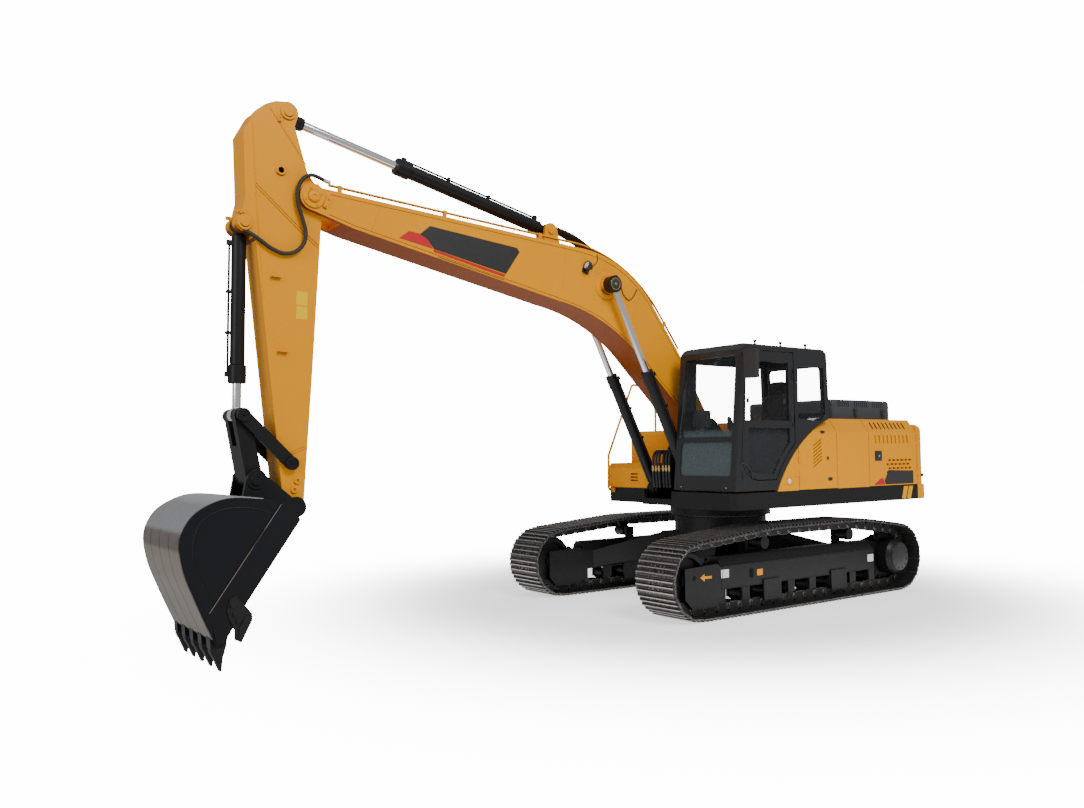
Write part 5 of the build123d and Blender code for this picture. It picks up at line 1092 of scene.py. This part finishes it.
def monitor():
    face = Axes((985, 560, 2030), (0.30, 0.95, 0), (-0.45, 0.14, 0.88), (0.84, -0.27, 0.47))
    case = Piece("cab_monitor", "house", PLASTIC)
    case.block(face, 0, 0, 210, 160, -40, 0, 16, 6)
    case.tube(spline([(985, 545, 1960), (1010, 520, 1880), (1050, 500, 1780)], 5), 22)
    case.done()
    Piece("cab_screen", "house", SCREEN).block(face, 0, 0, 176, 126, -44, -40.5, 6, 1).done()


def ring_and_safety_lever():
    centre = front(1110, 670, 1690)
    turns = [FULL_TURN * k / 24 for k in range(25)]
    circle = [centre(34 * cos(t), 34 * sin(t)) for t in turns]
    Piece("cab_ring", "house", ZINC).tube(circle, 7, 8).done()
    route = spline([(139, 1170, 1528), (150, 1175, 1600), (175, 1178, 1723)], 5)
    Piece("cab_safety_lever", "house", RED).tube(route, 13).done()


def joystick(hand, y):
    stick = Piece("joystick_" + hand, "house", PLASTIC)
    stick.tube(spline([(520, y, 1960), (524, y, 2020), (530, y, 2070)], 4), 12)
    stick.lathe(level(530, y, 2060, 0.08), 0, 0, STICK_GRIP, 18)
    stick.lathe(level(520, y, 1900), 0, 0, STICK_BOOT, 24)
    stick.done()


def cushion(piece, ax, width, tall, deep, round_by, puff, seams=(0.33, 0.67)):
    """Padded block: bulged faces, soft edges, sunk stitch lines across and down its front."""
    outline = rounded(width, tall, round_by, 11)
    layers = 14
    rings = []
    for j in range(layers + 1):
        w = -1 + 2 * j / layers
        inward = 0.9 + 0.1 * max((1 - abs(w) ** 4) ** 0.25, 0.55)
        ring = []
        for x, y in outline:
            bulge = puff * (1 - min(1, max(abs(2 * x / width), abs(2 * y / tall)) ** 2))
            ring.append(ax(x * inward, y * inward, w * deep / 2 + (bulge if w > 0 else 0)))
        rings.append(ring)
    for t in (0.85, 0.7, 0.5, 0.3, 0.1):
        ring = []
        for x, y in outline:
            x, y = x * 0.955 * t, y * 0.955 * t
            sink = sum(9 * exp(-((y / tall + 0.5 - m) * tall / 9) ** 2) for m in seams)
            side = 7 * exp(-((abs(x) - 0.33 * width) / 9) ** 2)
            ring.append(ax(x, y, deep / 2 + puff * (1 - t * t) - sink - side))
        rings.append(ring)
    piece.loft(rings)


def operator_seat():
    """Squab, back, headrest and two armrests."""
    seat = Piece("operator_seat", "house", SEAT)
    cushion(seat, Axes((120, 886, 1850), (0, 1, 0), (1, 0, 0.06), (0, 0, 1)), 460, 520, 130, 80, 14)
    cushion(seat, Axes((-110, 886, 2180), (0, -1, 0), (-0.14, 0, 1), (1, 0, 0.14)), 440, 620, 110, 110, 14)
    headrest = Axes((-150, 886, 2555), (0, -1, 0), (-0.10, 0, 1), (1, 0, 0.10))
    cushion(seat, headrest, 270, 190, 80, 70, 8, (0.5,))
    for y in (668, 1104):
        cushion(seat, Axes((110, y, 2075), (0, 1, 0), (1, 0, 0), (0, 0, 1)), 44, 300, 50, 20, 3, ())
    seat_ob = seat.done(soft=True)
    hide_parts("seat")


def seat_stand():
    stand = Piece("seat_stand", "house", PLASTIC)
    for width, depth, low, high, r in ((420, 380, -440, -330, 20), (330, 300, -330, -60, 40),
                                       (470, 420, -70, -40, 30)):
        stand.block(level(110, 886, 1835), 0, 0, width, depth, low, high, r, 6)
    stand.done()


def boom_foot_hoses():
    """Six hoses from the deck to the boom's foot, with brass fittings."""
    hoses = Piece("boom_foot_hoses", None, RUBBER)
    fittings = Piece("boom_foot_fittings", "house", BRASS)
    for k, y in enumerate((-150, -96, -42, 30, 84, 138)):
        route = ((1010, y, 1360), (1022, y, 1480), (1026, y, 1620), (1016, y, 1745),
                 (970 + 5 * (k % 3), y * 0.98, 1806), (900, y * 0.96, 1800), (840, y * 0.94, 1770))
        hoses.tube(spline(route, 6), 17)
        fittings.lathe(level(1024, y, 1560, 0.03), 0, 0, HOSE_FITTING, 6)
    hoses = hoses.done(soft=True)
    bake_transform(hoses)
    fittings.done()


for hand, sign in SIDES:
    for part in (track, side_frame_marks, boom_trim, boom_decals, boom_pin_cap, arm_trim, arm_label, arm_hose,
                 bucket_cheek, linkage_caps, skirt_stripes, rear_door):
        part(hand, sign)
for hand, y in (("left", 1085), ("right", 690)):
    joystick(hand, y)
for part in (final_drive_caps, lamp_cable, lamp_lens, arm_cylinder_hoses, wear_strips, arm_rod_collar,
             tooth_castings, corner_panel, hood_latches, cab_outside, wiper, monitor, ring_and_safety_lever,
             operator_seat, seat_stand, boom_foot_hoses):
    part()
